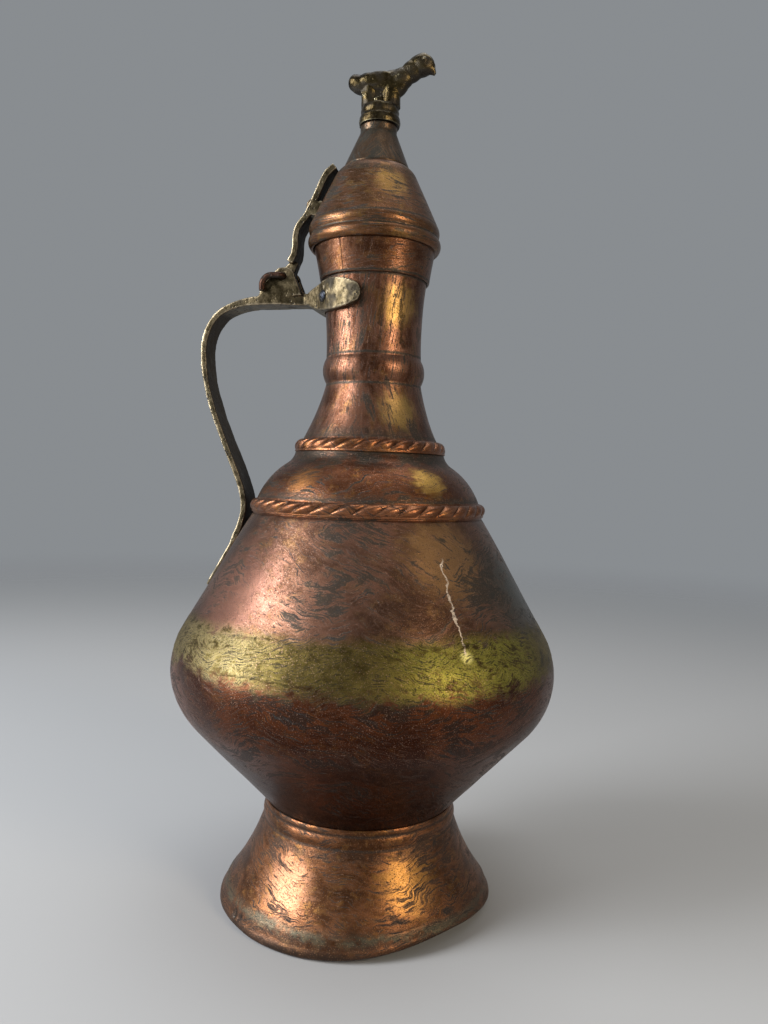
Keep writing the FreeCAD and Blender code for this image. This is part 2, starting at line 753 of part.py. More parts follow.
def build_handle():
    arm = arm_z
    waist = d.grip_waist_reach
    out = d.grip_reach - waist
    rise = arm - grip_waist_z
    # how far out (0 at the waist, 1 at the widest) and how high (0 at the waist, 1 at the arm)
    bow = [(0.64, 0.957), (0.935, 0.862), (1.0, 0.754), (0.918, 0.605), (0.663, 0.419), (0.301, 0.218),
           (0.082, 0.09), (0.0, 0.0), (0.055, -0.09)]
    route = [(d.fork_root_reach - 2.0, arm, d.arm_thickness), (waist, arm, d.arm_thickness)]
    for outward, upward in bow:
        route.append((waist + out * outward, grip_waist_z + rise * upward, d.grip_thickness))
    rest = d.solder_gap * 2
    for height, thickness in ((tongue_top_z, d.grip_thickness),
                              (base_rivet_high_z + d.rivet_head_radius + 0.5, d.tongue_thickness),
                              (tongue_tip_z, d.tongue_thickness)):
        route.append((cone_at(height) + rest, height, thickness, cone_slope))
    grip = padded("handle_grip", strap_outline(route), d.tongue_width + 4)
    hinge_x = -d.hinge_reach
    riser = padded("handle_riser", [
        (hinge_x - 11.2, arm + d.arm_thickness - 0.4),
        (hinge_x - 3.4, hinge_z - d.knuckle_radius - d.riser_gap),
        (hinge_x + 9.5, arm + d.arm_thickness + 1.8),
        (-d.fork_root_reach + 2.0, arm + d.arm_thickness + 1.2),
        (-d.fork_root_reach + 2.0, arm + 0.3),
        (hinge_x - 11.2, arm + 0.3),
    ], d.tongue_width)
    front = padded("handle_front", [
        (d.grip_width / 2, arm + 20.0),
        (-d.grip_width / 2, arm + 20.0),
        (-d.grip_width / 2, arm - 22.0),
        (-d.tongue_width / 2, grip_waist_z),
        (-d.tongue_width / 2, tongue_tip_z + 4.0, 0.3),
        (-d.tongue_width / 4, tongue_tip_z - 1.0),
        (d.tongue_width / 4, tongue_tip_z - 1.0, 0.3),
        (d.tongue_width / 2, tongue_tip_z + 4.0),
        (d.tongue_width / 2, grip_waist_z),
        (d.grip_width / 2, arm - 22.0),
    ], 400.0, plane="YZ_Plane")
    plan = padded("handle_plan", [
        (-d.grip_reach * 2, d.tongue_width),
        (-d.grip_reach * 2, -d.tongue_width),
        (-waist, -d.tongue_width),
        (hinge_x, -ear_outside),
        (-d.fork_root_reach, -d.fork_root_width / 2),
        (-d.neck_ring_radius, -d.fork_root_width / 2),
        (-d.neck_ring_radius, d.fork_root_width / 2),
        (-d.fork_root_reach, d.fork_root_width / 2),
        (hinge_x, ear_outside),
        (-waist, d.tongue_width),
    ], 800.0, plane="XY_Plane")
    strip = boolean("MultiFuse", "handle_strip", [grip, riser])
    shaped = boolean("MultiCommon", "handle_strip_shaped", [strip, front, plan])

    # the fork in plan: straight arms from the root, then round the neck to the lugs' tips
    outside = d.lug_ring_radius + d.lug_thickness
    inside = d.lug_ring_radius - 2.0
    meet = d.fork_meet_angle
    lug_end = d.lug_end_reach
    outside_end = root(outside * outside - lug_end * lug_end)
    inside_end = root(inside * inside - lug_end * lug_end)
    sweep = math.radians(90 - meet.number) - math.asin(lug_end.number / outside.number)
    inner_sweep = math.pi - 2 * math.asin(lug_end.number / inside.number)
    around = math.tan(sweep / 4)
    half_root = d.fork_root_width / 2
    fork_plan = padded("fork_plan", [
        (-d.fork_root_reach, -half_root),
        (-outside * cosine(meet), -outside * sine(meet), around),
        (-lug_end, -outside_end),
        (-lug_end, -inside_end, -math.tan(inner_sweep / 4)),
        (-lug_end, inside_end),
        (-lug_end, outside_end, around),
        (-outside * cosine(meet), outside * sine(meet)),
        (-d.fork_root_reach, half_root),
    ], 800.0, plane="XY_Plane")
    leaf_root = -d.fork_root_reach + 1.6
    tip = -d.lug_end_reach - 1.4
    half_leaf = d.lug_height / 2
    leaf = padded("fork_leaf", [
        (-d.fork_root_reach - 1.0, arm + 0.1),
        (leaf_root, arm + 0.3, d.lug_leaf_swell),
        (tip, lug_z - half_leaf / 2, d.lug_tip_swell),
        (tip, lug_z + half_leaf / 2, d.lug_leaf_swell),
        (leaf_root, arm + d.arm_thickness + 1.3),
        (-d.fork_root_reach - 1.0, arm + d.arm_thickness + 1.5),
    ], 200.0)
    former = revolved("neck_former", [
        (0, neck_ring_top_z),
        (d.neck_ring_radius + neck_face, neck_ring_top_z, -d.neck_waist_swell),
        (d.neck_band_radius + neck_face, band_z),
        (0, band_z),
    ])
    fork = boolean("Cut", "fork", [boolean("MultiCommon", "fork_blank", [fork_plan, leaf]), former])

    ear = [
        (hinge_x - 10.4, arm + d.arm_thickness + 0.3),
        (hinge_x + 8.3, arm + d.arm_thickness + 0.6),
        (hinge_x + 5.2, hinge_z - 0.2, 0.35),
        (hinge_x + 1.0, hinge_z + d.ear_radius),
        (hinge_x - 2.2, hinge_z + d.ear_radius - 0.3),
        (hinge_x - 7.5, hinge_z - 2.1, 0.1),
    ]
    ears = []
    for name, offset in (("near_ear", d.slot_width / 2), ("far_ear", -ear_outside)):
        ears.append(padded(name, ear, d.ear_thickness, centred=False, offset=offset))
    casting = boolean("MultiFuse", "handle_casting", [shaped, fork] + ears)
    drills = [rod("ear_drill", d.pin_radius + d.pin_clearance * 0.4, ear_outside * 4,
                  facing((hinge_x.number, -2 * ear_outside.number, hinge_z.number), (0, 1, 0)))]
    for point, direction, _ in lug_rivet_seats() + base_rivet_seats():
        drills.append(rod("handle_drill", d.rivet_radius + d.rivet_clearance, 30.0,
                          facing([p - 15.0 * u for p, u in zip(point, direction)], direction)))
    boolean("Cut", "handle", [casting, boolean("MultiFuse", "handle_drills", drills)])


# Rivets: where each one stands, the way its head faces and how much it grips

def lug_rivet_seats():
    seats = []
    turn = math.radians(d.lug_rivet_angle.number)
    outside = (d.lug_ring_radius + d.lug_thickness).number
    neck = arc_at((d.neck_ring_radius, neck_ring_top_z), (d.neck_band_radius, band_z),
                  -d.neck_waist_swell.number, lug_z.number)
    inside = neck - d.wall.number - d.solder_gap.number
    grip = outside - math.sqrt(inside ** 2 - d.rivet_head_radius.number ** 2) + 0.05
    for side in (-1, 1):
        direction = (-math.cos(turn), side * math.sin(turn), 0.0)
        point = (outside * direction[0], outside * direction[1], lug_z.number)
        seats.append((point, direction, Size(grip)))
    return seats


def base_rivet_seats():
    slope = cone_slope.number
    length = math.hypot(1.0, slope)
    direction = (-1.0 / length, 0.0, slope / length)
    seats = []
    for height in (base_rivet_low_z, base_rivet_high_z):
        reach = cone_at(height).number + 2 * d.solder_gap.number
        lift = d.tongue_thickness.number + d.tongue_seat_lift.number
        point = (-reach + lift * direction[0], 0.0, height.number + lift * direction[2])
        seats.append((point, direction, d.tongue_thickness + d.wall + 2 * d.solder_gap + d.tongue_seat_lift))
    return seats


def lid_rivet_seats():
    slope = lid_slope.number
    length = math.hypot(1.0, slope)
    direction = (-1.0 / length, 0.0, slope / length)
    height = (lid_z + d.strap_pad_bottom + d.strap_pad_length / 2).number
    reach = lid_cone_at(Size(height)).number + 2 * d.solder_gap.number
    lift = (d.strap_thickness + d.strap_boss).number
    inside = reach - 2 * d.solder_gap.number - d.lid_wall.number
    edge = d.lid_rivet_spread.number / 2 + d.rivet_head_radius.number
    sag = inside - math.sqrt(inside ** 2 - edge ** 2)
    grip = Size(lift + d.lid_wall.number + 2 * d.solder_gap.number + sag)
    seats = []
    for side in (-0.5, 0.5):
        point = (-reach + lift * direction[0], side * d.lid_rivet_spread.number,
                 height + lift * direction[2])
        seats.append((point, direction, grip))
    return seats


def rivets(name, seats):
    parts = []
    for index, (point, direction, grip) in enumerate(seats, start=1):
        parts.append(rivet("%s_%d" % (name, index), grip, facing(point, direction)))
    compound(name, parts)


# Hinge pin: a nail driven from the far side, its near end bent down over the ear

def build_pin():
    x = -d.hinge_reach.number
    z = hinge_z.number
    radius = d.pin_radius.number
    face = ear_outside.number
    bend = radius + 0.3
    depth = -face - bend
    reach = d.pin_tail_reach.number
    drop = d.pin_tail_drop.number
    turn = reach * 0.5
    vector = FreeCAD.Vector
    quarter = math.sqrt(0.5)
    start = vector(x, face + 0.2, z)
    corner = vector(x, -face, z)
    bent = vector(x - bend, depth, z)
    bent_middle = vector(x - bend + bend * quarter, -face - bend * quarter, z)
    over = vector(x - reach + turn, depth, z)
    over_middle = vector(x - reach + turn * (1 - quarter), depth, z - turn * (1 - quarter))
    down = vector(x - reach, depth, z - turn)
    end = vector(x - reach, depth, z - drop)
    path = Part.Wire([
        Part.LineSegment(start, corner).toShape(),
        Part.Arc(corner, bent_middle, bent).toShape(),
        Part.LineSegment(bent, over).toShape(),
        Part.Arc(over, over_middle, down).toShape(),
        Part.LineSegment(down, end).toShape(),
    ])
    section = Part.Wire([Part.Circle(start, vector(0, 1, 0), radius).toShape()])
    shank = path.makePipeShell([section], True, False)
    head = Part.makeCylinder(radius * 1.7, radius * 0.6, vector(x, face + 0.1, z), vector(0, 1, 0))
    pin = doc.addObject("Part::Feature", "hinge_pin")
    pin.Shape = shank.fuse(head).removeSplitter()


# Lid strap: cast brass, riveted to the cone, with a knuckle between the ears

def build_strap():
    hinge_x = -d.hinge_reach
    pad_low = lid_z + d.strap_pad_bottom
    pad_high = pad_low + d.strap_pad_length
    rest = d.solder_gap * 2
    stand = rest + d.strap_boss
    thick = d.strap_thickness
    bend_z = hinge_z
    route = [
        (d.lid_cone_radius - 0.7, lid_z + d.lid_cone_rise + 3.8, thick),
        (d.lid_cone_radius + 2.8, lid_z + d.lid_cone_rise + 0.7, thick),
        (lid_cone_at(pad_high + 4.4) + stand + 0.1, pad_high + 4.4, thick),
        (lid_cone_at(pad_high) + stand, pad_high, thick, lid_slope),
        (lid_cone_at(pad_low) + stand, pad_low, thick, lid_slope),
        (d.lid_edge_radius + 3.3, lid_cone_z + 1.2, thick),
        (d.lid_edge_radius + 5.2, lid_cone_z - 2.1, thick),
        (d.hinge_reach - 6.1, bend_z + 13.9, thick),
        (d.hinge_reach - 5.7, bend_z + 8.8, thick),
        (d.hinge_reach - 3.8, bend_z + 5.3, thick),
    ]
    boss = padded("strap_boss_block", [
        (-lid_cone_at(pad_low) - rest, pad_low),
        (-lid_cone_at(pad_low) - stand - 0.6, pad_low),
        (-lid_cone_at(pad_high) - stand - 0.6, pad_high),
        (-lid_cone_at(pad_high) - rest, pad_high),
    ], d.strap_width)
    band = padded("strap_band", strap_outline(route), d.strap_width)
    knuckle_width = d.slot_width - 2 * d.knuckle_side_gap
    web = padded("strap_web", [
        (hinge_x + 5.6, bend_z + 6.2),
        (hinge_x + 2.2, bend_z + 6.6),
        (hinge_x - d.knuckle_radius * 0.75, bend_z + d.knuckle_radius * 0.66),
        (hinge_x + d.knuckle_radius * 0.75, bend_z - d.knuckle_radius * 0.66),
    ], knuckle_width)
    barrel = rod("strap_barrel", d.knuckle_radius, knuckle_width,
                 facing((hinge_x.number, -knuckle_width.number / 2, bend_z.number), (0, 1, 0)))
    casting = boolean("MultiFuse", "strap_casting", [band, boss, web, barrel])
    drills = [rod("knuckle_drill", d.pin_radius + d.pin_clearance, 40.0,
                  facing((hinge_x.number, -20.0, bend_z.number), (0, 1, 0)))]
    for point, direction, _ in lid_rivet_seats():
        start = [p - d.drill_depth.number / 2 * u for p, u in zip(point, direction)]
        drills.append(rod("strap_drill", d.rivet_radius + d.rivet_clearance, d.drill_depth, facing(start, direction)))
    boolean("Cut", "lid_strap", [casting, boolean("MultiFuse", "strap_drills", drills)])


def drilled(name, blank, seats):
    """A sheet with a hole through it for each rivet that stands on the given seats."""
    drills = []
    for point, direction, _ in seats:
        start = [p - d.drill_depth.number * u for p, u in zip(point, direction)]
        drills.append(rod(name + "_drill", d.rivet_radius + d.rivet_clearance, d.drill_depth, facing(start, direction)))
    boolean("Cut", name, [blank, boolean("MultiFuse", name + "_drills", drills)])


build_foot()
neck_sheet = build_body()
build_seam_and_ropes()
lid_sheet = build_lid()
build_finial()
build_handle()
rivets("neck_rivets", lug_rivet_seats())
rivets("handle_base_rivets", base_rivet_seats())
build_pin()
build_strap()
rivets("lid_strap_rivets", lid_rivet_seats())
doc.recompute()
upper_sheet = doc.getObjectsByLabel("upper_body")[0]
upper_sheet.Label = "upper_body_sheet"
drilled("upper_body", upper_sheet, base_rivet_seats())
drilled("neck_tube", neck_sheet, lug_rivet_seats())
drilled("lid_cone", lid_sheet, lid_rivet_seats())

nodes = [
    "foot_skirt", "foot_rim_wire", "foot_solder_ring", "lower_bowl", "belly_braze_seam", "upper_body",
    "shoulder_rope_ring", "shoulder_dome", "neck_rope_ring", "neck_tube", "neck_band", "handle",
    "neck_rivets", "handle_base_rivets", "hinge_pin", "lid_strap", "lid_strap_rivets", "lid_cone",
    "lid_cap", "lid_sleeve", "bird_finial", "finial_washer",
]

doc.recompute()
for item in doc.Objects:
    if "Invalid" in item.State or "Error" in item.State:
        raise RuntimeError("%s did not rebuild: %s" % (item.Label, item.State))
os.makedirs("parts", exist_ok=True)
for label in nodes:
    piece = doc.getObjectsByLabel(label)[0]
    if piece.Shape.isNull() or not piece.Shape.isValid():
        raise RuntimeError("%s has no valid shape" % label)
    piece.Shape.exportStep("parts/%s.step" % label)
    print("%-20s %d solid(s), %.1f mm3" % (label, len(piece.Shape.Solids), piece.Shape.Volume))
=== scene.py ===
import itertools
import math

import bmesh
import bpy
import numpy as np
from mathutils import Matrix, Vector


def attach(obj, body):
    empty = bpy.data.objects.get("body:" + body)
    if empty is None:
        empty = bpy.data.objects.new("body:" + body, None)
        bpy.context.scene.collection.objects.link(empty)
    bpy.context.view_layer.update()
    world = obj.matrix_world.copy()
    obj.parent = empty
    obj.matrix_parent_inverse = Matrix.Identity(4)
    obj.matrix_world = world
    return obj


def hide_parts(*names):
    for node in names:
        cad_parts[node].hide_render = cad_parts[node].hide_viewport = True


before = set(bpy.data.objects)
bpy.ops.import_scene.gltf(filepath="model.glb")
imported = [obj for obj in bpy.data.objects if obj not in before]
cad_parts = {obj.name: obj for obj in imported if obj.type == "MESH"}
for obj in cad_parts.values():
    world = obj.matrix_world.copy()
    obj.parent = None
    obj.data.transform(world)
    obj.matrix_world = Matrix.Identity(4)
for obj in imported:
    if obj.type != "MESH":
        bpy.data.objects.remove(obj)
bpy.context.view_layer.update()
millimetre = 0.001


# Numbers from numbers: a steady scramble, so every run hammers the copper the same way

cellPrimes = (73856093, 19349663, 83492791)
seedPrime, firstMix, secondMix = 668265263, 1274126177, 1103515245


def scrambled(cells, seed):
    mixed = seed * seedPrime
    for axis, prime in enumerate(cellPrimes):
        mixed = mixed ^ cells[..., axis] * prime
    mixed = (mixed & 0xffffffff) * firstMix
    mixed = ((mixed ^ (mixed >> 15)) & 0xffffffff) * secondMix
    return ((mixed ^ (mixed >> 13)) & 0xffffff) / 0xffffff


# Value noise from -1 to 1: random heights on a lattice of cells, eased by 6t^5 - 15t^4 + 10t^3
def cloudNoise(points, cell, seed):
    scaled = points / cell
    corner = np.floor(scaled).astype(np.int64)
    part = scaled - corner
    ease = part ** 3 * (part * (part * 6 - 15) + 10)
    total = np.zeros(points.shape[:-1])
    for offset in itertools.product((0, 1), repeat=3):
        weight = np.prod(np.where(offset, ease, 1 - ease), axis=-1)
        total += weight * scrambled(corner + np.array(offset), seed)
    return total * 2 - 1


# Hammer marks from 0 to 1: the distance to the nearest of the scattered blows, squared
def hammerMarks(points, cell, seed):
    scaled = points / cell
    corner = np.floor(scaled).astype(np.int64)
    nearest = np.full(points.shape[:-1], 9.0)
    for offset in itertools.product((-1, 0, 1), repeat=3):
        blow = corner + np.array(offset)
        jitter = np.stack([scrambled(blow, seed + axis) for axis in range(3)], axis=-1)
        nearest = np.minimum(nearest, np.sum((blow + jitter - scaled) ** 2, axis=-1))
    return np.clip(nearest, 0, 1)


# Lines in the plane of radius and height, in millimetres, drawn in steps this long
fineStep = 0.12


# A chain of (radius, height, bulge) corners: a bulge is the tangent of a quarter of its arc's sweep
def arcLine(corners):
    runs = []
    corners = [tuple(corner) + (0.0,) * (3 - len(corner)) for corner in corners]
    for (startX, startZ, bulge), (endX, endZ, _) in zip(corners, corners[1:]):
        start = np.array([startX, startZ])
        end = np.array([endX, endZ])
        chord = np.linalg.norm(end - start)
        part = np.linspace(0, 1, max(int(chord / fineStep), 2), endpoint=False)[:, None]
        if abs(bulge) < 1e-6:
            runs.append(start + (end - start) * part)
            continue
        sweep = 4 * math.atan(bulge)
        normal = np.array([startZ - endZ, endX - startX]) / chord
        centre = (start + end) / 2 + normal * chord / 2 / math.tan(sweep / 2)
        arm = start - centre
        turn = sweep * part
        runs.append(centre + arm * np.cos(turn) + arm[::-1] * np.array([-1, 1]) * np.sin(turn))
    runs.append(np.array([corners[-1][:2]]))
    return np.vstack(runs)


def respaced(line, spacing):
    along = np.concatenate([[0], np.cumsum(np.linalg.norm(np.diff(line, axis=0), axis=1))])
    stops = np.linspace(0, along[-1], max(int(round(along[-1] / spacing)), 2) + 1)
    return np.stack([np.interp(stops, along, line[:, axis]) for axis in range(line.shape[1])], axis=1)


# The line with its corners worn: a running bell-shaped average, with the two ends kept
def wornLine(line, blur, spacing):
    line = respaced(line, fineStep)
    reach = int(blur * 3 / fineStep)
    if reach > 0 and len(line) > 2 * reach:
        bell = np.exp(-0.5 * (np.arange(-reach, reach + 1) * fineStep / blur) ** 2)
        bell /= bell.sum()
        before = 2 * line[0] - line[reach:0:-1]
        after = 2 * line[-1] - line[-2:-reach - 2:-1]
        longer = np.vstack([before, line, after])
        line = np.stack([np.convolve(longer[:, axis], bell, "valid") for axis in range(2)], axis=1)
    return respaced(line, spacing)


# The right-hand side of a line: outwards when the line runs upwards
def sideways(line, closed=False):
    if closed:
        run = np.roll(line, -1, axis=0) - np.roll(line, 1, axis=0)
    else:
        run = np.gradient(line, axis=0)
    run /= np.maximum(np.linalg.norm(run, axis=1, keepdims=True), 1e-9)
    return np.stack([run[:, 1], -run[:, 0]], axis=1)


# Meshes

def makePiece(name, points, faces, fields=None):
    mesh = bpy.data.meshes.new(name)
    mesh.from_pydata((points * millimetre).tolist(), [], faces.tolist())
    for field, values in (fields or {}).items():
        layer = mesh.attributes.new(field, "FLOAT", "POINT")
        layer.data.foreach_set("value", values.astype(np.float32).ravel())
    shape = bmesh.new()
    shape.from_mesh(mesh)
    bmesh.ops.remove_doubles(shape, verts=shape.verts, dist=1e-7)
    bmesh.ops.dissolve_degenerate(shape, edges=shape.edges, dist=1e-8)
    if shape.calc_volume(signed=True) < 0:
        bmesh.ops.reverse_faces(shape, faces=shape.faces)
    for face in shape.faces:
        face.smooth = True
    shape.to_mesh(mesh)
    shape.free()
    piece = bpy.data.objects.new(name, mesh)
    bpy.context.scene.collection.objects.link(piece)
    return piece


def gridFaces(rows, columns, closedRows):
    index = np.arange(rows * columns).reshape(rows, columns)
    turned = np.roll(index, -1, axis=1)
    if closedRows:
        above = np.roll(index, -1, axis=0)
        aboveTurned = np.roll(turned, -1, axis=0)
    else:
        above, aboveTurned = index[1:], turned[1:]
        index, turned = index[:-1], turned[:-1]
    return np.stack([index, turned, aboveTurned, above], axis=-1).reshape(-1, 4)


def finishPiece(piece, body, nodes, material):
    piece.data.materials.clear()
    piece.data.materials.append(material)
    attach(piece, body)
    if nodes:
        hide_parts(*nodes)
    return piece


# The jug's own irregularities, shared by every sheet so that the laps stay together

jugWear = {
    "leanHeights": (0, 45, 85, 110, 160, 196, 214, 228, 252, 266, 279, 300, 322, 350),
    "leanRight": (0, 0.3, 0.1, 0.1, 0, 0.3, 0.9, 0.6, 0.1, -0.2, -0.9, -0.7, -0.2, 0),
    "pictureRight": (0.985, 0.174),
    "rimLift": 4.6,
    "rimDent": 3.2,
    "rimLiftAt": math.radians(-38),
    "rimLiftWidth": math.radians(27),
    "rimLiftHeight": 13.0,
    "broadWave": 0.24,
    "fineWave": 0.075,
    "calmRadius": 15.0,
}


def leant(points):
    lean = np.interp(points[..., 2], jugWear["leanHeights"], jugWear["leanRight"])
    moved = points.copy()
    moved[..., 0] += lean * jugWear["pictureRight"][0]
    moved[..., 1] += lean * jugWear["pictureRight"][1]
    return moved


# The foot's rim is bent up and in at the front right: a bell round the rim, dying away up the skirt
def rimBent(points):
    turn = np.arctan2(points[..., 1], points[..., 0]) - jugWear["rimLiftAt"]
    turn = (turn + math.pi) % (2 * math.pi) - math.pi
    bell = np.exp(-0.5 * (turn / jugWear["rimLiftWidth"]) ** 2)
    fade = np.exp(-np.maximum(points[..., 2], 0) / jugWear["rimLiftHeight"])
    moved = points.copy()
    reach = np.maximum(np.hypot(points[..., 0], points[..., 1]), 1.0)
    moved[..., :2] *= (1 - jugWear["rimDent"] * bell * fade / reach)[..., None]
    moved[..., 2] += jugWear["rimLift"] * bell * fade
    moved[..., 2] = np.maximum(moved[..., 2], 0.0)
    return moved


def sheetWaves(points):
    broad = cloudNoise(points, 24.0, 3) * jugWear["broadWave"]
    fine = cloudNoise(points, 8.0, 5) * jugWear["fineWave"]
    return broad + fine


# A turned sheet: an outer line and an inner one a wall away, joined by round lips, and carried
# round the axis. Every point moves along its normal by the waves, the same way on both faces.
def turnedSheet(name, look, body, nodes, material):
    outer = wornLine(arcLine(look["line"]), look["wear"], look["spacing"])
    inner = wornLine(arcLine(look["line"]), max(look["wear"], look["wall"]), look["innerSpacing"])
    inner = inner - sideways(inner) * look["wall"]
    onAxis = outer[0, 0] < 0.01
    if onAxis:
        outer[0, 0] = inner[0, 0] = 0.0
    half = look["wall"] / 2

    def lip(line, across):
        normal = sideways(line)[across]
        along = np.array([-normal[1], normal[0]]) * (1 if across == -1 else -1)
        turns = np.radians([30, 60, 90, 120, 150])
        middle = line[across] - normal * half
        return np.array([middle + normal * half * math.cos(t) + along * half * math.sin(t) for t in turns])

    top = lip(outer, -1)
    loop = np.vstack([outer, top, inner[::-1]])
    inside = np.concatenate([np.zeros(len(outer)), np.linspace(0, 1, len(top)), np.ones(len(inner))])
    if not onAxis:
        bottom = lip(outer, 0)[::-1]
        loop = np.vstack([loop, bottom])
        inside = np.concatenate([inside, np.linspace(1, 0, len(bottom))])
    normals = sideways(loop, closed=not onAxis)
    turn = np.linspace(0, 2 * math.pi, look["columns"], endpoint=False)
    points = spun(loop, turn)
    outwards = spun(normals, turn) * (1 - 2 * inside[:, None, None])
    calm = np.minimum(loop[:, 0] / jugWear["calmRadius"], 1)[:, None]
    waves = sheetWaves(points) * look["waves"] * calm
    if "extra" in look:
        waves = waves + look["extra"](points)
    points = points + outwards * (waves - look.get("sunk", 0.0))[..., None]
    points = look.get("bend", leant)(points)
    side = np.broadcast_to(inside[:, None], waves.shape)
    faces = gridFaces(len(loop), look["columns"], not onAxis)
    piece = makePiece(name, points.reshape(-1, 3), faces, {"inside": side, "relief": waves})
    return finishPiece(piece, body, nodes, material)


def spun(line, turn):
    radius = line[:, 0][:, None]
    height = np.broadcast_to(line[:, 1][:, None], (len(line), len(turn)))
    return np.stack([radius * np.cos(turn), radius * np.sin(turn), height], axis=-1)


# Shader maths

class Signal:
    def __init__(self, finish, socket):
        self.finish = finish
        self.socket = socket

    def maths(self, operation, first, second=0.0, clamp=False):
        settings = {"operation": operation, "use_clamp": clamp}
        return self.finish.node("ShaderNodeMath", settings, {0: first, 1: second})

    def __add__(self, other):
        return self.maths("ADD", self, other)

    __radd__ = __add__

    def __sub__(self, other):
        return self.maths("SUBTRACT", self, other)

    def __rsub__(self, other):
        return self.maths("SUBTRACT", other, self)

    def __mul__(self, other):
        return self.maths("MULTIPLY", self, other)

    __rmul__ = __mul__

    def clamped(self):
        return self.maths("MULTIPLY", self, 1.0, clamp=True)

    def size(self):
        return self.maths("ABSOLUTE", self)

    def highest(self, other):
        return self.maths("MAXIMUM", self, other)

    # 0 below low, 1 above high, eased between them
    def step(self, low, high):
        limits = {"Value": self, "From Min": low, "From Max": high, "To Min": 0.0, "To Max": 1.0}
        return self.finish.node("ShaderNodeMapRange", {"interpolation_type": "SMOOTHSTEP"}, limits)


class Finish:
    def __init__(self, name):
        self.material = bpy.data.materials.new(name)
        self.material.use_nodes = True
        self.tree = self.material.node_tree
        self.tree.nodes.clear()
        self.place = self.node("ShaderNodeTexCoord", {}, {}, "Object")

    def node(self, kind, settings, inputs, out=0):
        made = self.tree.nodes.new(kind)
        for setting, value in settings.items():
            setattr(made, setting, value)
        for socket, value in inputs.items():
            if isinstance(value, Signal):
                self.tree.links.new(value.socket, made.inputs[socket])
            else:
                made.inputs[socket].default_value = value
        return Signal(self, made.outputs[out]) if len(made.outputs) else None

    def noise(self, at, detail, rough):
        inputs = {"Vector": at, "Scale": 1.0, "Detail": detail, "Roughness": rough}
        return self.node("ShaderNodeTexNoise", {}, inputs)

    # Noise whose cells are so many millimetres wide along X, Y and Z
    def grain(self, cells, detail=4.0, rough=0.55, shift=0.0):
        scale = tuple(1000.0 / cell for cell in cells)
        turned = {"Vector": self.place, "Scale": scale, "Location": (shift, shift * 0.7, shift * 1.3)}
        return self.noise(self.node("ShaderNodeMapping", {}, turned), detail, rough)

    # Strokes that slant round the jug: noise laid on a cylinder that turns as it rises. The slant is
    # in degrees up to the right, across and along are a stroke's width and length in millimetres.
    def strokes(self, radius, slant, across, along, detail, shift, sway):
        lean = math.radians(slant)
        rise = self.height() + sway
        around = self.part(0).maths("ARCTAN2", self.part(1), self.part(0))
        around = around - rise * (1 / (radius * math.tan(lean)))
        size = radius * abs(math.sin(lean)) / across
        cosine = around.maths("COSINE", around) * size
        sine = around.maths("SINE", around) * size
        up = rise * (1 / (along * abs(math.sin(lean))))
        at = self.node("ShaderNodeCombineXYZ", {}, {0: cosine, 1: sine, 2: up + shift})
        return self.noise(at, detail, 0.6)

    # 1 along an upright line at an angle round the axis, between two heights, so many millimetres wide
    def line(self, degrees, width, low, high, wobble):
        turn = math.radians(degrees)
        off = self.part(1) * (math.cos(turn) * 1000) - self.part(0) * (math.sin(turn) * 1000) + wobble
        off = off.size()
        front = self.part(0) * math.cos(turn) + self.part(1) * math.sin(turn)
        tall = self.height().step(low - 1, low + 1) * (1 - self.height().step(high - 1, high + 1))
        return (1 - off.step(width * 0.4, width)) * front.step(0.0, 0.004) * tall

    # Round spots: 1 at the middle of scattered cells, 0 outside a radius given in parts of a cell
    def specks(self, cell, radius):
        at = self.node("ShaderNodeMapping", {}, {"Vector": self.place, "Scale": (1000 / cell,) * 3})
        distance = self.node("ShaderNodeTexVoronoi", {}, {"Vector": at, "Scale": 1.0}, "Distance")
        return 1 - distance.step(radius * 0.6, radius)

    def part(self, axis):
        return self.node("ShaderNodeSeparateXYZ", {}, {0: self.place}, axis)

    def height(self):
        return self.part(2) * 1000.0

    # 1 within so many millimetres of a height, with soft and ragged edges
    def band(self, middle, half, soft, ragged):
        away = (self.height() - middle + ragged).size()
        return 1 - away.step(half - soft / 2, half + soft / 2)

    # 1 near a point, 0 a radius away
    def near(self, centre, radius, ragged):
        middle = tuple(value * millimetre for value in centre)
        ends = {0: self.place, 1: middle}
        away = self.node("ShaderNodeVectorMath", {"operation": "DISTANCE"}, ends, 1) * 1000.0 + ragged
        return 1 - away.step(radius * 0.35, radius)

    def field(self, name):
        return self.node("ShaderNodeAttribute", {"attribute_name": name}, {}, "Fac")

    def blend(self, factor, first, second, kind="MIX"):
        inputs = {0: factor, 6: colour(first), 7: colour(second)}
        return self.node("ShaderNodeMix", {"data_type": "RGBA", "blend_type": kind}, inputs, 2)

    def bump(self, height, distance):
        inputs = {"Height": height, "Distance": distance * millimetre, "Strength": 1.0}
        return self.node("ShaderNodeBump", {}, inputs)

    def close(self, sockets):
        shader = self.node("ShaderNodeBsdfPrincipled", {}, sockets)
        self.node("ShaderNodeOutputMaterial", {}, {"Surface": shader})
        return self.material


def colour(value):
    return value if isinstance(value, Signal) else (*value, 1.0)


# Copper: tinted metal with slanting brush marks, patches of dark oxide whose edges follow them,
# painted shade in hollows, creases, joints and rope grooves, short inky scratches, and a fine sand
# of specks over all of it

# 1 on the dark bowl and 0 on the body above it, with a ragged change between the two. The
# bowl's darker colours are its own darker copper with a dark reflection of a table painted in
def bowlShare(finish, look, mottle, cloud):
    height = finish.height() + (mottle - 0.5) * 16.0 + (cloud - 0.5) * 10.0
    return 1 - height.step(look["lowerTop"] - 5.0, look["lowerTop"] + 5.0)
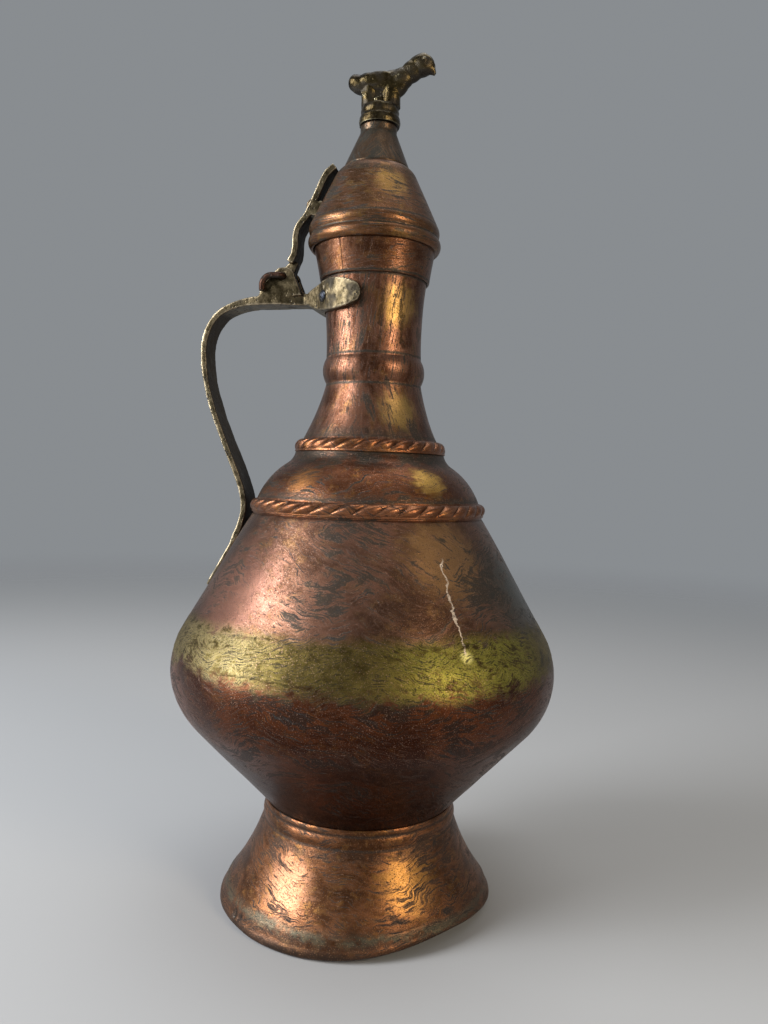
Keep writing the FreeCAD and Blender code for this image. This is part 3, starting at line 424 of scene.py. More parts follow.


# The brass round the belly: a ragged band, wider to the right, of olive and pale gold, with a
# painted highlight on its left
def brassBand(finish, look, tone, mottle, cloud, fine):
    right = finish.part(0).step(-0.06, 0.06)
    ragged = (mottle - 0.5) * 11.0 + (cloud - 0.5) * 9.0 + (fine - 0.5) * 8.0
    away = (finish.height() - look["brassAt"] + ragged).size()
    share = 1 - (away - right * 1.2).step(look["brassHalf"] - 3.0, look["brassHalf"] + 3.0)
    olive, straw = (0.048, 0.034, 0.009), (0.145, 0.105, 0.028)
    hue = finish.blend((mottle * 0.7 + fine * 0.3).step(0.4, 0.62), olive, straw)
    hue = finish.blend(cloud.step(0.45, 0.65) * 0.5, hue, (0.22, 0.165, 0.045))
    # Painted highlight: a pale cream patch on the left of the band
    pale = finish.near((-50, -56, 112), 44, (mottle - 0.5) * 26)
    hue = finish.blend(pale * (mottle + fine).step(0.85, 1.15) * 0.8, hue, (0.34, 0.27, 0.13))
    green = finish.near((52, -54, 111), 44, (mottle - 0.5) * 26)
    hue = finish.blend(green * (mottle + fine).step(0.82, 1.15) * 0.9, hue, (0.30, 0.28, 0.05))
    bright = finish.near((46, -57, 114.5), 3.4, (mottle - 0.5) * 4)
    hue = finish.blend(bright, hue, (0.95, 0.85, 0.3))
    blot = (mottle * 0.7 + fine * 0.8).step(0.79, 0.86)
    hue = finish.blend(blot * 0.8, hue, (0.028, 0.022, 0.010))
    return finish.blend(share, tone, hue), share


def copper(name, look):
    finish = Finish(name)
    radius = look["radius"]
    mottle = finish.grain((5, 5, 4), 6, 0.66, 7.7)
    cloud = finish.grain(look.get("cloud", (30, 30, 22)), 4, 0.6, 4.7)
    crowd = finish.grain((15, 15, 10), 4, 0.6, 9.1)
    sway = (finish.grain((22, 22, 16), 3, 0.5, 11.3) - 0.5) * look.get("sway", 16.0)
    slants = look["slants"]
    pick = finish.grain((38, 38, 26), 2, 0.5, 13.1).step(0.44, 0.56)
    other = 1 - pick

    # two slants of stroke, one in some patches and the other in the rest
    def crossed(across, along, detail, shift):
        first = finish.strokes(radius, slants[0], across, along, detail, shift, sway)
        second = finish.strokes(radius, slants[1], across, along, detail, shift * 2, sway)
        return first * pick + second * other

    fine = crossed(0.5, 6.5, 5, 1.7)
    wide = crossed(2.4, 17, 6, 5.3)
    sand = finish.grain((0.45, 0.45, 0.45), 3, 0.6, 1.9)
    share = (cloud * 0.6 + wide * 0.4).step(0.42, 0.58)
    tone = finish.blend(share, look["brown"], look["rose"])
    gilt = mottle.step(0.5, 0.7) * look.get("gilt", 0.4)
    tone = finish.blend(gilt, tone, look["gold"])
    if "lowerTop" in look:
        lower = bowlShare(finish, look, mottle, cloud)
        lowTone = finish.blend(share, look["lowerBrown"], look["lowerRose"])
        lowTone = finish.blend(gilt, lowTone, look["lowerGold"])
        tone = finish.blend(lower, tone, lowTone)
    brushed = fine.step(0.52, 0.7) * look.get("brushed", 0.2)
    tone = finish.blend(brushed, tone, look["pale"])
    for centre, size, hue, amount in look.get("spots", ()):
        spot = finish.near(centre, size, (mottle - 0.5) * size * 1.1 + (wide - 0.5) * size * 0.9)
        tone = finish.blend(spot * amount, tone, hue)
    # Darker where the relief sinks: painted shade in hollows, which also tips the oxide pattern a little
    hollowShade = (0 - finish.field("relief")).step(0.0, 0.35)
    level = look.get("clean", 0.62)
    oxideAndShade = cloud * 0.30 + mottle * 0.18 + wide * 0.34 + fine * 0.30 + hollowShade * 0.05
    oxideAndShadeMask = oxideAndShade.step(level, level + 0.045)
    # Ragged dark bands beside joints and creases: partly oxide, partly painted shade
    for middle, half, soft, amount in look.get("oxideAndShadeBands", ()):
        band = finish.band(middle, half, soft, (mottle - 0.5) * 9.0)
        oxideAndShadeMask = oxideAndShadeMask.highest(band * (mottle + crowd).step(0.7, 1.05) * amount)
    # Painted shade: thin dark lines at creases, bead grooves and the joints between parts
    for middle, half, amount in look.get("creaseShades", ()):
        creaseShade = finish.band(middle, half, half, (mottle - 0.5) * 1.2)
        oxideAndShadeMask = oxideAndShadeMask.highest(creaseShade * amount)
    oxideAndShadeMask = oxideAndShadeMask * 0.85
    # The oxide colour serves both the oxide patches and the painted shade in creases, joints and grooves
    oxideAndShadeHue = look["oxideAndShade"]
    if "lowerTop" in look:
        oxideAndShadeHue = finish.blend(lower, look["oxideAndShade"], look["lowerOxideAndShade"])
    # Painted shade in the grooves between the rope's lobes
    grooveShade = hollowShade * look.get("grooveShadeAmount", 0.0)
    oxideAndShadeMask = oxideAndShadeMask.highest(grooveShade)
    tone = finish.blend(oxideAndShadeMask, tone, oxideAndShadeHue)
    brass = 0.0
    if "brassAt" in look:
        tone, brass = brassBand(finish, look, tone, mottle, cloud, fine)
        oxideAndShadeMask = oxideAndShadeMask * (1 - brass)
    for middle, half, soft, hue, amount in look.get("tintBands", ()):
        band = finish.band(middle, half, soft, (mottle - 0.5) * 8.0 + (fine - 0.5) * 5.0)
        tone = finish.blend(band * amount * (mottle + crowd).step(0.75, 1.1), tone, hue)
    for degrees, width, low, high, hue, amount in look.get("lines", ()):
        line = finish.line(degrees, width, low, high, (mottle - 0.5) * 6.0 + (crowd - 0.5) * 8.0)
        tone = finish.blend(line * (mottle + fine).step(0.8, 1.0) * amount, tone, hue)
    inked = 0.575
    scratch = fine.step(inked, inked + 0.03) * (crowd + cloud).step(0.82, 1.04)
    scratch = scratch * look.get("ink", 0.85) * (1.0 - brass * 0.6)
    grit = (1 - sand.step(0.36, 0.42)) * 0.75
    dark = scratch.highest(grit)
    tone = finish.blend(dark, tone, (0.012, 0.010, 0.008))
    glint = sand.step(0.58, 0.68) * 0.4
    tone = finish.blend(glint, tone, look["pale"])
    inside = finish.field("inside").step(0.35, 0.65)
    tone = finish.blend(inside, tone, (0.17, 0.15, 0.125))
    rough = look.get("rough", 0.29) + brass * 0.14 + oxideAndShadeMask * 0.14 + mottle * 0.1 + dark * 0.2 + inside * 0.1
    metal = 1 - oxideAndShadeMask * 0.15 - dark * 0.5 - inside * 0.2
    height = fine * look.get("fineBump", 0.035) + wide * 0.06 - dark * 0.03
    height = height + mottle * look.get("mottleBump", 0.1)
    return finish.close({
        "Base Color": tone,
        "Roughness": rough.clamped(),
        "Metallic": metal.clamped(),
        "Normal": finish.bump(height, 1.0),
    })


bellyLook = {
    "brown": (0.085, 0.040, 0.023), "rose": (0.25, 0.12, 0.075), "gold": (0.34, 0.18, 0.07),
    "pale": (0.50, 0.31, 0.23), "oxideAndShade": (0.026, 0.029, 0.023), "radius": 60.0,
}
# The bowl's colours: its own darker copper, with a painted dark reflection of a dark table under it
darkBowl = {
    "lowerTop": 104.0, "lowerBrown": (0.042, 0.012, 0.005), "lowerRose": (0.13, 0.040, 0.015),
    "lowerGold": (0.22, 0.085, 0.02), "lowerOxideAndShade": (0.016, 0.009, 0.006),
    "brassAt": 111.6, "brassHalf": 7.6,
}
# Black for the foot's tears: painted shade inside their openings
torn = (0.003, 0.003, 0.003)
soot = (0.02, 0.015, 0.008)
bodyCopper = copper("body and bowl copper", dict(
    bellyLook, **darkBowl, slants=(-24, 20), clean=0.57, gilt=0.3, oxideAndShadeBands=[(41, 3.5, 5, 0.9)],
    spots=[
        ((38, -42, 148), 22, (0.46, 0.25, 0.10), 0.6), ((-40, -48, 128), 30, (0.36, 0.17, 0.12), 0.55),
        # Of the next two spots the second, an orange patch on the left of the bowl, is a painted highlight
        ((72, -14, 132), 36, (0.062, 0.07, 0.05), 0.75), ((-66, -36, 84), 26, (0.24, 0.085, 0.045), 0.6),
    ],
    lines=[(-51.2, 0.6, 116, 147, (0.9, 0.72, 0.55), 0.95)],
))
footCopper = copper("worn foot copper", dict(
    bellyLook, radius=48.0, brown=(0.085, 0.034, 0.014), rose=(0.26, 0.105, 0.045), gold=(0.40, 0.19, 0.055),
    pale=(0.5, 0.28, 0.16), oxideAndShade=(0.045, 0.03, 0.022), slants=(-14, 12), cloud=(16, 16, 12), clean=0.57,
    brushed=0.12, fineBump=0.015, mottleBump=0.12, gilt=0.45, ink=0.8, rough=0.34,
    spots=[
        ((26, -36, 22), 15, (0.40, 0.20, 0.055), 0.7), ((-20, -42, 20), 15, (0.38, 0.18, 0.10), 0.6),
        # The three black spots over the rim's tears are painted shade inside them
        ((-41.5, -38, 4.4), 2.8, torn, 1.0), ((-38.4, -41.2, 5.2), 2.6, torn, 1.0),
        ((-36, -43.4, 5.6), 1.8, torn, 1.0),
    ],
    # Painted shade at creases and joints; the third entry darkens the bottom of the rim roll
    creaseShades=[(34.4, 0.5, 1.0), (39.8, 0.6, 1.0), (0.5, 3.6, 0.95), (30.9, 0.35, 0.5)],
    oxideAndShadeBands=[(7, 3, 4, 0.8), (32.2, 1.2, 2.5, 0.7)],
    tintBands=[(8.2, 0.9, 2.5, (0.14, 0.16, 0.11), 0.4)],
))
domeCopper = copper("dome copper", dict(
    bellyLook, radius=40.0, brown=(0.10, 0.034, 0.014), rose=(0.22, 0.085, 0.04), gold=(0.42, 0.18, 0.04),
    slants=(-8, 9), clean=0.565, gilt=0.45, oxideAndShadeBands=[(184.5, 3.6, 4, 1.0), (168.5, 1.0, 2, 0.8)],
    creaseShades=[(167.6, 0.5, 0.9), (186.0, 0.6, 0.9)],
    # Both spots here are bright orange painted reflections of the lamps
    spots=[((27, -28, 174), 9, (0.85, 0.5, 0.12), 0.75), ((-18, -34, 173), 9, (0.62, 0.27, 0.09), 0.75)],
))
neckCopper = copper("neck copper", dict(
    bellyLook, radius=23.0, brown=(0.08, 0.030, 0.014), rose=(0.22, 0.10, 0.06), gold=(0.34, 0.17, 0.055),
    slants=(80, -76), sway=4.0, cloud=(10, 10, 18), clean=0.585, gilt=0.45,
    creaseShades=[(213.9, 0.5, 0.95), (226.0, 0.5, 0.95), (256.4, 0.5, 0.9), (192.6, 0.6, 0.8)],
    oxideAndShadeBands=[(194, 1.6, 3, 0.7)],
    # Both spots here are gold painted highlights
    spots=[((13, -16, 245), 11, (0.50, 0.31, 0.09), 0.55), ((15, -19, 203), 11, (0.50, 0.33, 0.11), 0.6)],
    lines=[(-46, 1.2, 228, 256, soot, 0.75), (-72, 0.9, 230, 256, soot, 0.6)],
))
bandCopper = copper("neck band copper", dict(
    bellyLook, radius=24.0, brown=(0.075, 0.028, 0.012), rose=(0.16, 0.07, 0.036), gold=(0.28, 0.13, 0.042),
    slants=(12, 66), cloud=(12, 12, 10), clean=0.60, creaseShades=[(257.5, 0.4, 1.0)],
))
lidCopper = copper("lid copper", dict(
    bellyLook, radius=22.0, brown=(0.10, 0.045, 0.017), rose=(0.20, 0.088, 0.040), gold=(0.34, 0.19, 0.055),
    slants=(7, -10), cloud=(14, 14, 10), clean=0.58, sway=6.0, gilt=0.5,
    spots=[((9, -17, 292), 9, (0.38, 0.22, 0.06), 0.6)],
    creaseShades=[(274.7, 0.4, 1.0), (279.7, 0.4, 0.95), (303.7, 0.4, 0.9)],
    oxideAndShadeBands=[(299.5, 1.2, 2.0, 0.8)],
))
capCopper = copper("cap copper", dict(
    bellyLook, radius=11.0, brown=(0.062, 0.038, 0.022), rose=(0.13, 0.078, 0.046), gold=(0.22, 0.12, 0.045),
    pale=(0.3, 0.2, 0.13), slants=(50, -60), cloud=(9, 9, 12), clean=0.56, sway=5.0,
    oxideAndShadeBands=[(317, 1.5, 2, 0.9)],
))
# The rope's grooves between its lobes are darkened as painted shade
ropeCopper = copper("rope ring copper", dict(
    bellyLook, radius=46.0, brown=(0.14, 0.050, 0.020), rose=(0.28, 0.115, 0.055), gold=(0.40, 0.18, 0.06),
    oxideAndShade=(0.022, 0.015, 0.010), slants=(20, -30), clean=0.60, gilt=0.5, brushed=0.15, grooveShadeAmount=0.95,
))


# Pieces of the jug, from the foot up: the lines repeat the part's own radii and heights

footSkirt = {
    "line": [
        (55.0, 2.9), (54.6, 0.9, 0.32), (55.28, 0.0), (55.9, 0.0, 0.44), (57.0, 2.6, 0.2), (56.3, 3.9),
        (54.7, 7.6, -0.09), (39.9, 35, 0.24), (39.4, 39.6, 0.24), (39.4, 41.9),
    ],
    "wall": 0.9, "wear": 0.14, "spacing": 0.5, "innerSpacing": 2.6, "columns": 420, "waves": 0.75,
    "tears": [((-41.5, -38.0, 4.6), 1.6), ((-39.0, -41.0, 5.4), 1.2), ((-36.2, -43.6, 5.6), 0.9)],
    "tearDepth": 0.7,
}


# The skirt's own bumps: long shallow dints, a row of nicks under the bead, and tears at the rim
def skirtDints(points):
    dints = cloudNoise(points, 13.0, 21) * 0.16
    nicks = np.clip(cloudNoise(points, 1.9, 23) - 0.45, 0, 1) * -0.9
    row = np.exp(-0.5 * ((points[..., 2] - 32.2) / 1.1) ** 2)
    torn = 0
    for centre, size in footSkirt["tears"]:
        away = np.linalg.norm((points - centre) * (1, 1, 0.6), axis=-1) + cloudNoise(points, 1.4, 25) * 0.6
        torn = torn + np.clip(1 - away / size, 0, 1)
    return dints + nicks * row - torn * footSkirt["tearDepth"]


def footBend(points):
    return leant(rimBent(points))


footSkirt["extra"] = skirtDints
footSkirt["bend"] = footBend
turnedSheet("foot_skirt_sheet", footSkirt, "jug", ["foot_skirt"], footCopper)

# The wire in the rim, bent with it
rimWire = {"ring": 55.28, "height": 1.79, "thick": 0.9, "columns": 240, "sides": 14}


def buildRimWire(look, material):
    turn = np.linspace(0, 2 * math.pi, look["columns"], endpoint=False)
    side = np.linspace(0, 2 * math.pi, look["sides"], endpoint=False)
    across = look["ring"] + look["thick"] * np.cos(side)
    up = look["height"] + look["thick"] * np.sin(side)
    loop = np.stack([across, up], axis=1)
    points = footBend(spun(loop, turn))
    faces = gridFaces(len(loop), len(turn), True)
    piece = makePiece("foot_rim_wire_bent", points.reshape(-1, 3), faces)
    finishPiece(piece, "jug", ["foot_rim_wire"], material)


lowerBowl = {
    "line": [
        (0, 33), (19.5, 33, 0.208), (37.8, 40.9), (71.2, 76.8, 0.151), (79.1, 93, 0.038),
        (79.45, 97.5, 0.05), (78.7, 104, 0.05), (76.9, 109.2), (75.4, 109.9, 0.029), (73.85, 113.1),
        (71.04, 118),
    ],
    "wall": 1.2, "wear": 0.5, "spacing": 0.95, "innerSpacing": 3.2, "columns": 420,
    "waves": 1.0, "sunk": 0.25,
}
turnedSheet("lower_bowl_sheet", lowerBowl, "jug", ["lower_bowl"], bodyCopper)

upperBody = {
    "line": [(76.7, 109.6, 0.029), (75.1, 113.1), (47.8, 160.6), (46.5, 161.4), (44.85, 166.9)],
    "wall": 1.2, "wear": 0.7, "spacing": 0.8, "innerSpacing": 3.2, "columns": 460,
    "waves": 1.0, "sunk": 0.05,
}
turnedSheet("upper_body_sheet", upperBody, "jug", ["upper_body"], bodyCopper)

shoulderDome = {
    "line": [
        (47.75, 161.1), (46.1, 167, 0.16), (34, 181.6, -0.2), (30.9, 186.6), (29.4, 187.2), (26.7, 191.3),
    ],
    "wall": 1.2, "wear": 0.5, "spacing": 0.6, "innerSpacing": 2.4, "columns": 400, "waves": 0.8,
}
turnedSheet("shoulder_dome_sheet", shoulderDome, "jug", ["shoulder_dome"], domeCopper)

neckTube = {
    "line": [
        (30.7, 186.7), (27.9, 191.5, -0.065), (19.7, 214.7, 0.28), (19.7, 225.1, -0.044),
        (21.65, 257.1, -0.017), (23.95, 269.4),
    ],
    "wall": 1.2, "wear": 0.15, "spacing": 0.5, "innerSpacing": 2.4, "columns": 300, "waves": 0.75,
}
turnedSheet("neck_tube_sheet", neckTube, "jug", ["neck_tube"], neckCopper)

neckBand = {
    "line": [(22.72, 257.1, -0.017), (25.0, 269.4)],
    "wall": 1.0, "wear": 0.1, "spacing": 0.5, "innerSpacing": 1.6, "columns": 300, "waves": 0.5,
    "seamAt": math.radians(-113.6), "seamStep": 0.34, "seamFade": math.radians(26),
}


# The band's two ends overlap: the outer end stands up in a step and eases down round the neck
def bandLap(points):
    away = (np.arctan2(points[..., 1], points[..., 0]) - neckBand["seamAt"]) % (2 * math.pi)
    return neckBand["seamStep"] * np.clip(1 - away / neckBand["seamFade"], 0, 1) ** 1.5 - 0.05


neckBand["extra"] = bandLap
turnedSheet("neck_band_sheet", neckBand, "jug", ["neck_band"], bandCopper)

lidCone = {
    "line": [
        (26.3, 269.5, 0.45), (26.3, 274.8, 0.3), (26.3, 279.5), (17, 299.1, 0.2), (12.45, 303.5),
        (11.1, 308.0),
    ],
    "wall": 1.0, "wear": 0.22, "spacing": 0.42, "innerSpacing": 1.9, "columns": 320, "waves": 0.5,
}
turnedSheet("lid_cone_sheet", lidCone, "lid", ["lid_cone"], lidCopper)

lidCap = {
    "line": [(13.5, 303.5), (7.5, 317.7), (7.6, 320.6), (7.0, 320.7), (2.1, 320.7)],
    "wall": 1.0, "wear": 0.25, "spacing": 0.42, "innerSpacing": 1.6, "columns": 220, "waves": 0.4,
}
turnedSheet("lid_cap_sheet", lidCap, "lid", ["lid_cap"], capCopper)
print("turned copper sheets")


# A rope ring: a smooth ledge with a row of slanting lobes above it. Across the ring a lobe rises as
# a sine to a low power, and round it each one is the top of a circle between two grooves.
ropeShape = {
    "rows": 25, "lobeColumns": 26, "grooveFloor": 0.06, "unevenness": 0.15, "power": 0.6, "ledgeTurn": 0.2,
}


def ropeRing(name, look, node, material):
    start = np.array(look["low"])
    end = np.array(look["high"])
    across = np.linspace(0, 1, ropeShape["rows"])
    columns = look["lobes"] * ropeShape["lobeColumns"]
    turn = np.linspace(0, 2 * math.pi, columns, endpoint=False)
    run = end - start
    normal = np.array([run[1], -run[0]]) / np.linalg.norm(run)
    up = np.clip((across - look["ledgeShare"]) / (1 - look["ledgeShare"]), 0, 1)[:, None]
    phase = look["lobes"] * turn[None, :] / (2 * math.pi) - look["slant"] * up
    number = np.floor(phase) % look["lobes"]
    cells = np.stack([number, number * 0, number * 0], axis=-1).astype(np.int64)
    uneven = scrambled(cells, look["seed"])
    lobe = np.clip(1 - (2 * (phase % 1) - 1) ** 2, 0, 1) ** ropeShape["power"]
    rise = np.sin(math.pi * up) ** ropeShape["power"]
    least = ropeShape["grooveFloor"]
    height = look["height"] * rise * (least + (1 - least) * lobe)
    height = height * (1 - ropeShape["unevenness"] * (1 - uneven))
    onLedge = np.clip(across / look["ledgeShare"], 0, 1)[:, None]
    ledge = look["ledge"] * np.sin(math.pi * onLedge * 0.5 + ropeShape["ledgeTurn"])
    height = height + ledge * (1 - up)
    line = start + run * across[:, None]
    outer = spun(line, turn) + spun(np.broadcast_to(normal, line.shape), turn) * height[..., None]
    back = line[::-3] - normal * look["depth"]
    inner = spun(back, turn)
    points = leant(np.concatenate([outer, inner]))
    relief = np.concatenate([(lobe - 0.62) * 0.6 * rise, np.zeros(inner.shape[:2])])
    faces = gridFaces(len(points), len(turn), True)
    fields = {"inside": np.zeros(relief.shape), "relief": relief}
    piece = makePiece(name, points.reshape(-1, 3), faces, fields)
    finishPiece(piece, "jug", [node], material)


shoulderRope = {
    "low": (48.1, 161.2), "high": (46.6, 166.5), "height": 1.6, "depth": 0.25, "lobes": 37, "slant": 0.75,
    "ledge": 0.3, "ledgeShare": 0.14, "seed": 31,
}
ropeRing("shoulder_rope", shoulderRope, "shoulder_rope_ring", ropeCopper)
neckRope = {
    "low": (31.3, 186.3), "high": (28.5, 191.4), "height": 1.5, "depth": 0.25, "lobes": 27, "slant": 0.75,
    "ledge": 0.25, "ledgeShare": 0.14, "seed": 37,
}
ropeRing("neck_rope", neckRope, "neck_rope_ring", ropeCopper)
print("rope rings")


# Brazed seam: a thin skin of brass over the lap, its two edges ragged by noise, sinking into the
# copper so that it has no step. Its finish is the body's own, which draws the ragged band of brass.

bellySeam = {
    "low": 104.2, "high": 119.6, "thick": 0.1, "ragged": 1.3, "rows": 34, "columns": 460, "margin": 0.12,
    "sink": 0.1, "back": 0.4, "swing": 1.1, "wander": ((26.0, 0.8), (7.0, 0.5), (2.6, 0.25)),
    "line": [(79.45, 97.5, 0.05), (78.7, 104, 0.05), (76.9, 109.5, 0.029), (75.1, 113.1), (68.3, 125)],
}


def buildSeam(look, material):
    turn = np.linspace(0, 2 * math.pi, look["columns"], endpoint=False)
    across = np.linspace(0, 1, look["rows"])
    ring = spun(np.array([[79.0, 0.0], [79.0, 60.0]]), turn)
    ragged = sum(cloudNoise(ring, cell, 41) * share for cell, share in look["wander"])
    low = look["low"] + ragged[0] * look["ragged"]
    high = look["high"] + ragged[1] * look["ragged"]
    height = low + (high - low) * across[:, None]
    line = wornLine(arcLine(look["line"]), 0.7, 0.3)
    radius = np.interp(height, line[:, 1], line[:, 0])
    base = np.stack([radius * np.cos(turn), radius * np.sin(turn), height], axis=-1)
    outwards = np.stack(np.broadcast_arrays(np.cos(turn), np.sin(turn), 0.0 * height), axis=-1)
    # the bowl below the lap is sunk a little more than the body above it
    waves = sheetWaves(base) - np.interp(height, (108.0, 110.5), (lowerBowl["sunk"], upperBody["sunk"]))
    lumps = cloudNoise(base, 5.0, 43) * 0.04 + cloudNoise(base, 2.2, 44) * 0.02
    inwards = np.minimum(across, 1 - across)[:, None] * 2
    skin = np.clip(inwards * 4, 0, 1) + np.zeros(height.shape)
    skin = skin * skin * (3 - 2 * skin)
    proud = (look["thick"] + look["margin"] + lumps) * skin - look["sink"]
    outer = base + outwards * (waves * look["swing"] + proud)[..., None]
    inner = (base + outwards * (waves - look["back"])[..., None])[::-4]
    points = leant(np.concatenate([outer, inner]))
    flat = np.zeros(points.shape[:2])
    faces = gridFaces(len(points), len(turn), True)
    piece = makePiece("belly_seam", points.reshape(-1, 3), faces, {"inside": flat, "relief": flat})
    finishPiece(piece, "jug", ["belly_braze_seam"], material)


buildSeam(bellySeam, bodyCopper)
print("belly seam")


# Castings: the CAD solid's own shape, remeshed finely, rounded and roughened along its normals

def castPiece(name, look, body, node, material, made=None):
    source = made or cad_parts[node]
    mesh = source.data.copy()
    mesh.name = name
    shape = bmesh.new()
    shape.from_mesh(mesh)
    bmesh.ops.remove_doubles(shape, verts=shape.verts, dist=2e-6)
    shape.to_mesh(mesh)
    shape.free()
    blank = bpy.data.objects.new(name + "_blank", mesh)
    bpy.context.scene.collection.objects.link(blank)
    remesh = blank.modifiers.new("fine", "REMESH")
    remesh.mode = "VOXEL"
    remesh.voxel_size = look["voxel"] * millimetre
    smooth = blank.modifiers.new("round", "SMOOTH")
    smooth.factor = 0.5
    smooth.iterations = look["rounds"]
    graph = bpy.context.evaluated_depsgraph_get()
    fine = bpy.data.meshes.new_from_object(blank.evaluated_get(graph))
    bpy.data.objects.remove(blank)
    if made:
        bpy.data.objects.remove(made)
    count = len(fine.vertices)
    points = np.empty(count * 3)
    normals = np.empty(count * 3)
    fine.vertices.foreach_get("co", points)
    fine.vertices.foreach_get("normal", normals)
    points = points.reshape(-1, 3) / millimetre
    normals = normals.reshape(-1, 3)
    waves = look["rough"](points)
    points = points + normals * waves[:, None]
    fine.vertices.foreach_set("co", (points * millimetre).ravel())
    # Painted shade on faces turned one way: downwards as a rule, towards the jug on the handle and strap
    facingShade = np.clip((normals @ np.array(look.get("shadedFacing", (0, 0, -1))) - 0.3) / 0.3, 0, 1)
    for field, values in {"relief": waves, "facingShade": facingShade}.items():
        layer = fine.attributes.new(field, "FLOAT", "POINT")
        layer.data.foreach_set("value", values.astype(np.float32))
    fine.shade_smooth()
    fine.name = name
    piece = bpy.data.objects.new(name, fine)
    bpy.context.scene.collection.objects.link(piece)
    return finishPiece(piece, body, [node], material)


# Cast brass: a mottled tone; convex edges lighter, partly wear and partly painted highlight; dark sand pits;
# painted shade in dents, in concave corners, on faces turned down, and on the handle and strap on the faces
# towards the jug
def castBrass(name, look):
    finish = Finish(name)
    mottle = finish.grain((4, 4, 4), 6, 0.65)
    cloud = finish.grain((16, 16, 16), 4, 0.6, 3.0)
    fine = finish.grain((1.1, 1.1, 1.1), 4, 0.65, 6.0)
    tone = finish.blend(mottle.step(0.35, 0.62), look["deep"], look["tone"])
    tone = finish.blend(cloud.step(0.42, 0.66) * 0.6, tone, look["second"])
    edge = finish.node("ShaderNodeNewGeometry", {}, {}, "Pointiness")
    # Convex edges lighter: partly wear, partly painted highlight
    edgeWearAndHighlight = (edge + mottle * 0.05).step(0.53, 0.6)
    tone = finish.blend(edgeWearAndHighlight * look["edgeWearAndHighlight"], tone, look["wornAndLitTone"])
    # Painted shade in the dents of the surface
    hollowShade = (0 - finish.field("relief")).step(0.02, 0.14)
    pits = finish.specks(1.7, 0.34) * cloud.step(0.38, 0.55) * look.get("pitted", 1.0)
    dark = (hollowShade * 0.6).highest(pits * 0.9)
    # Painted shade in concave corners
    dark = dark.highest((0.5 - edge).step(0.02, 0.09) * 0.9)
    # Painted shade, in patches, on faces turned down and, on the handle and strap, on faces towards the jug
    facingShade = finish.field("facingShade") * (mottle + cloud).step(0.6, 0.95)
    dark = dark.highest(facingShade * 0.92)
    tone = finish.blend(dark, tone, (0.016, 0.012, 0.008))
    rough = look["gloss"] + mottle * 0.16 + dark * 0.25 - edgeWearAndHighlight * 0.06
    height = mottle * 0.22 + fine * 0.1 - pits * 0.2
    return finish.close({
        "Base Color": tone, "Roughness": rough.clamped(), "Metallic": (1 - dark * 0.5).clamped(),
        "Normal": finish.bump(height, 1.0),
    })


handleBrass = castBrass("cast brass", {
    "deep": (0.045, 0.034, 0.017), "tone": (0.15, 0.115, 0.065), "second": (0.11, 0.09, 0.05),
    "wornAndLitTone": (0.80, 0.66, 0.45), "edgeWearAndHighlight": 0.75, "gloss": 0.32,
})
birdBrass = castBrass("dark cast brass", {
    "deep": (0.018, 0.012, 0.005), "tone": (0.06, 0.042, 0.018), "second": (0.08, 0.06, 0.024),
    "wornAndLitTone": (0.75, 0.66, 0.42), "edgeWearAndHighlight": 0.6, "gloss": 0.2, "pitted": 0.25,
})
rivetBrass = castBrass("rivet brass", {
    "deep": (0.12, 0.07, 0.03), "tone": (0.36, 0.23, 0.12), "second": (0.3, 0.18, 0.09),
    "wornAndLitTone": (0.8, 0.62, 0.4), "edgeWearAndHighlight": 0.6, "gloss": 0.3,
})
rivetIron = castBrass("rivet iron", {
    "deep": (0.02, 0.022, 0.03), "tone": (0.05, 0.055, 0.065), "second": (0.05, 0.04, 0.03),
    "wornAndLitTone": (0.4, 0.42, 0.45), "edgeWearAndHighlight": 0.4, "gloss": 0.34,
})
pinIron = castBrass("pin iron", {
    "deep": (0.03, 0.015, 0.010), "tone": (0.08, 0.042, 0.030), "second": (0.06, 0.03, 0.02),
    "wornAndLitTone": (0.4, 0.28, 0.2), "edgeWearAndHighlight": 0.4, "gloss": 0.42,
})
solderGrey = castBrass("soft solder", {
    "deep": (0.12, 0.12, 0.11), "tone": (0.3, 0.3, 0.29), "second": (0.22, 0.2, 0.17),
    "wornAndLitTone": (0.5, 0.5, 0.5), "edgeWearAndHighlight": 0.2, "gloss": 0.45,
})


# Rough sand-cast faces, and a hammered leaf where the handle meets the neck
def handleSkin(points):
    sand = cloudNoise(points, 5.0, 51) * 0.1 + cloudNoise(points, 2.0, 52) * 0.06
    leaf = np.clip((-points[..., 0] - 24.5) / -3.0, 0, 1)
    return sand - hammerMarks(points, 2.4, 53) * 0.2 * leaf


def castSkin(points):
    return cloudNoise(points, 3.6, 55) * 0.08 + cloudNoise(points, 1.5, 56) * 0.04


def rivetSkin(points):
    return cloudNoise(points, 1.6, 57) * 0.06


# The handle's and strap's faces towards the jug get painted shade
handleCast = {"voxel": 0.42, "rounds": 5, "rough": handleSkin, "shadedFacing": (1, 0, 0)}
strapCast = {"voxel": 0.36, "rounds": 4, "rough": castSkin, "shadedFacing": (1, 0, 0)}
rivetCast = {"voxel": 0.2, "rounds": 2, "rough": rivetSkin}
castPiece("handle_cast", handleCast, "jug", "handle", handleBrass)
castPiece("lid_strap_cast", strapCast, "lid", "lid_strap", handleBrass)
castPiece("neck_rivets_peened", rivetCast, "jug", "neck_rivets", rivetIron)
castPiece("handle_base_rivets_peened", rivetCast, "jug", "handle_base_rivets", rivetBrass)
castPiece("lid_strap_rivets_peened", rivetCast, "lid", "lid_strap_rivets", rivetBrass)
castPiece("hinge_pin_bent", rivetCast, "jug", "hinge_pin", pinIron)


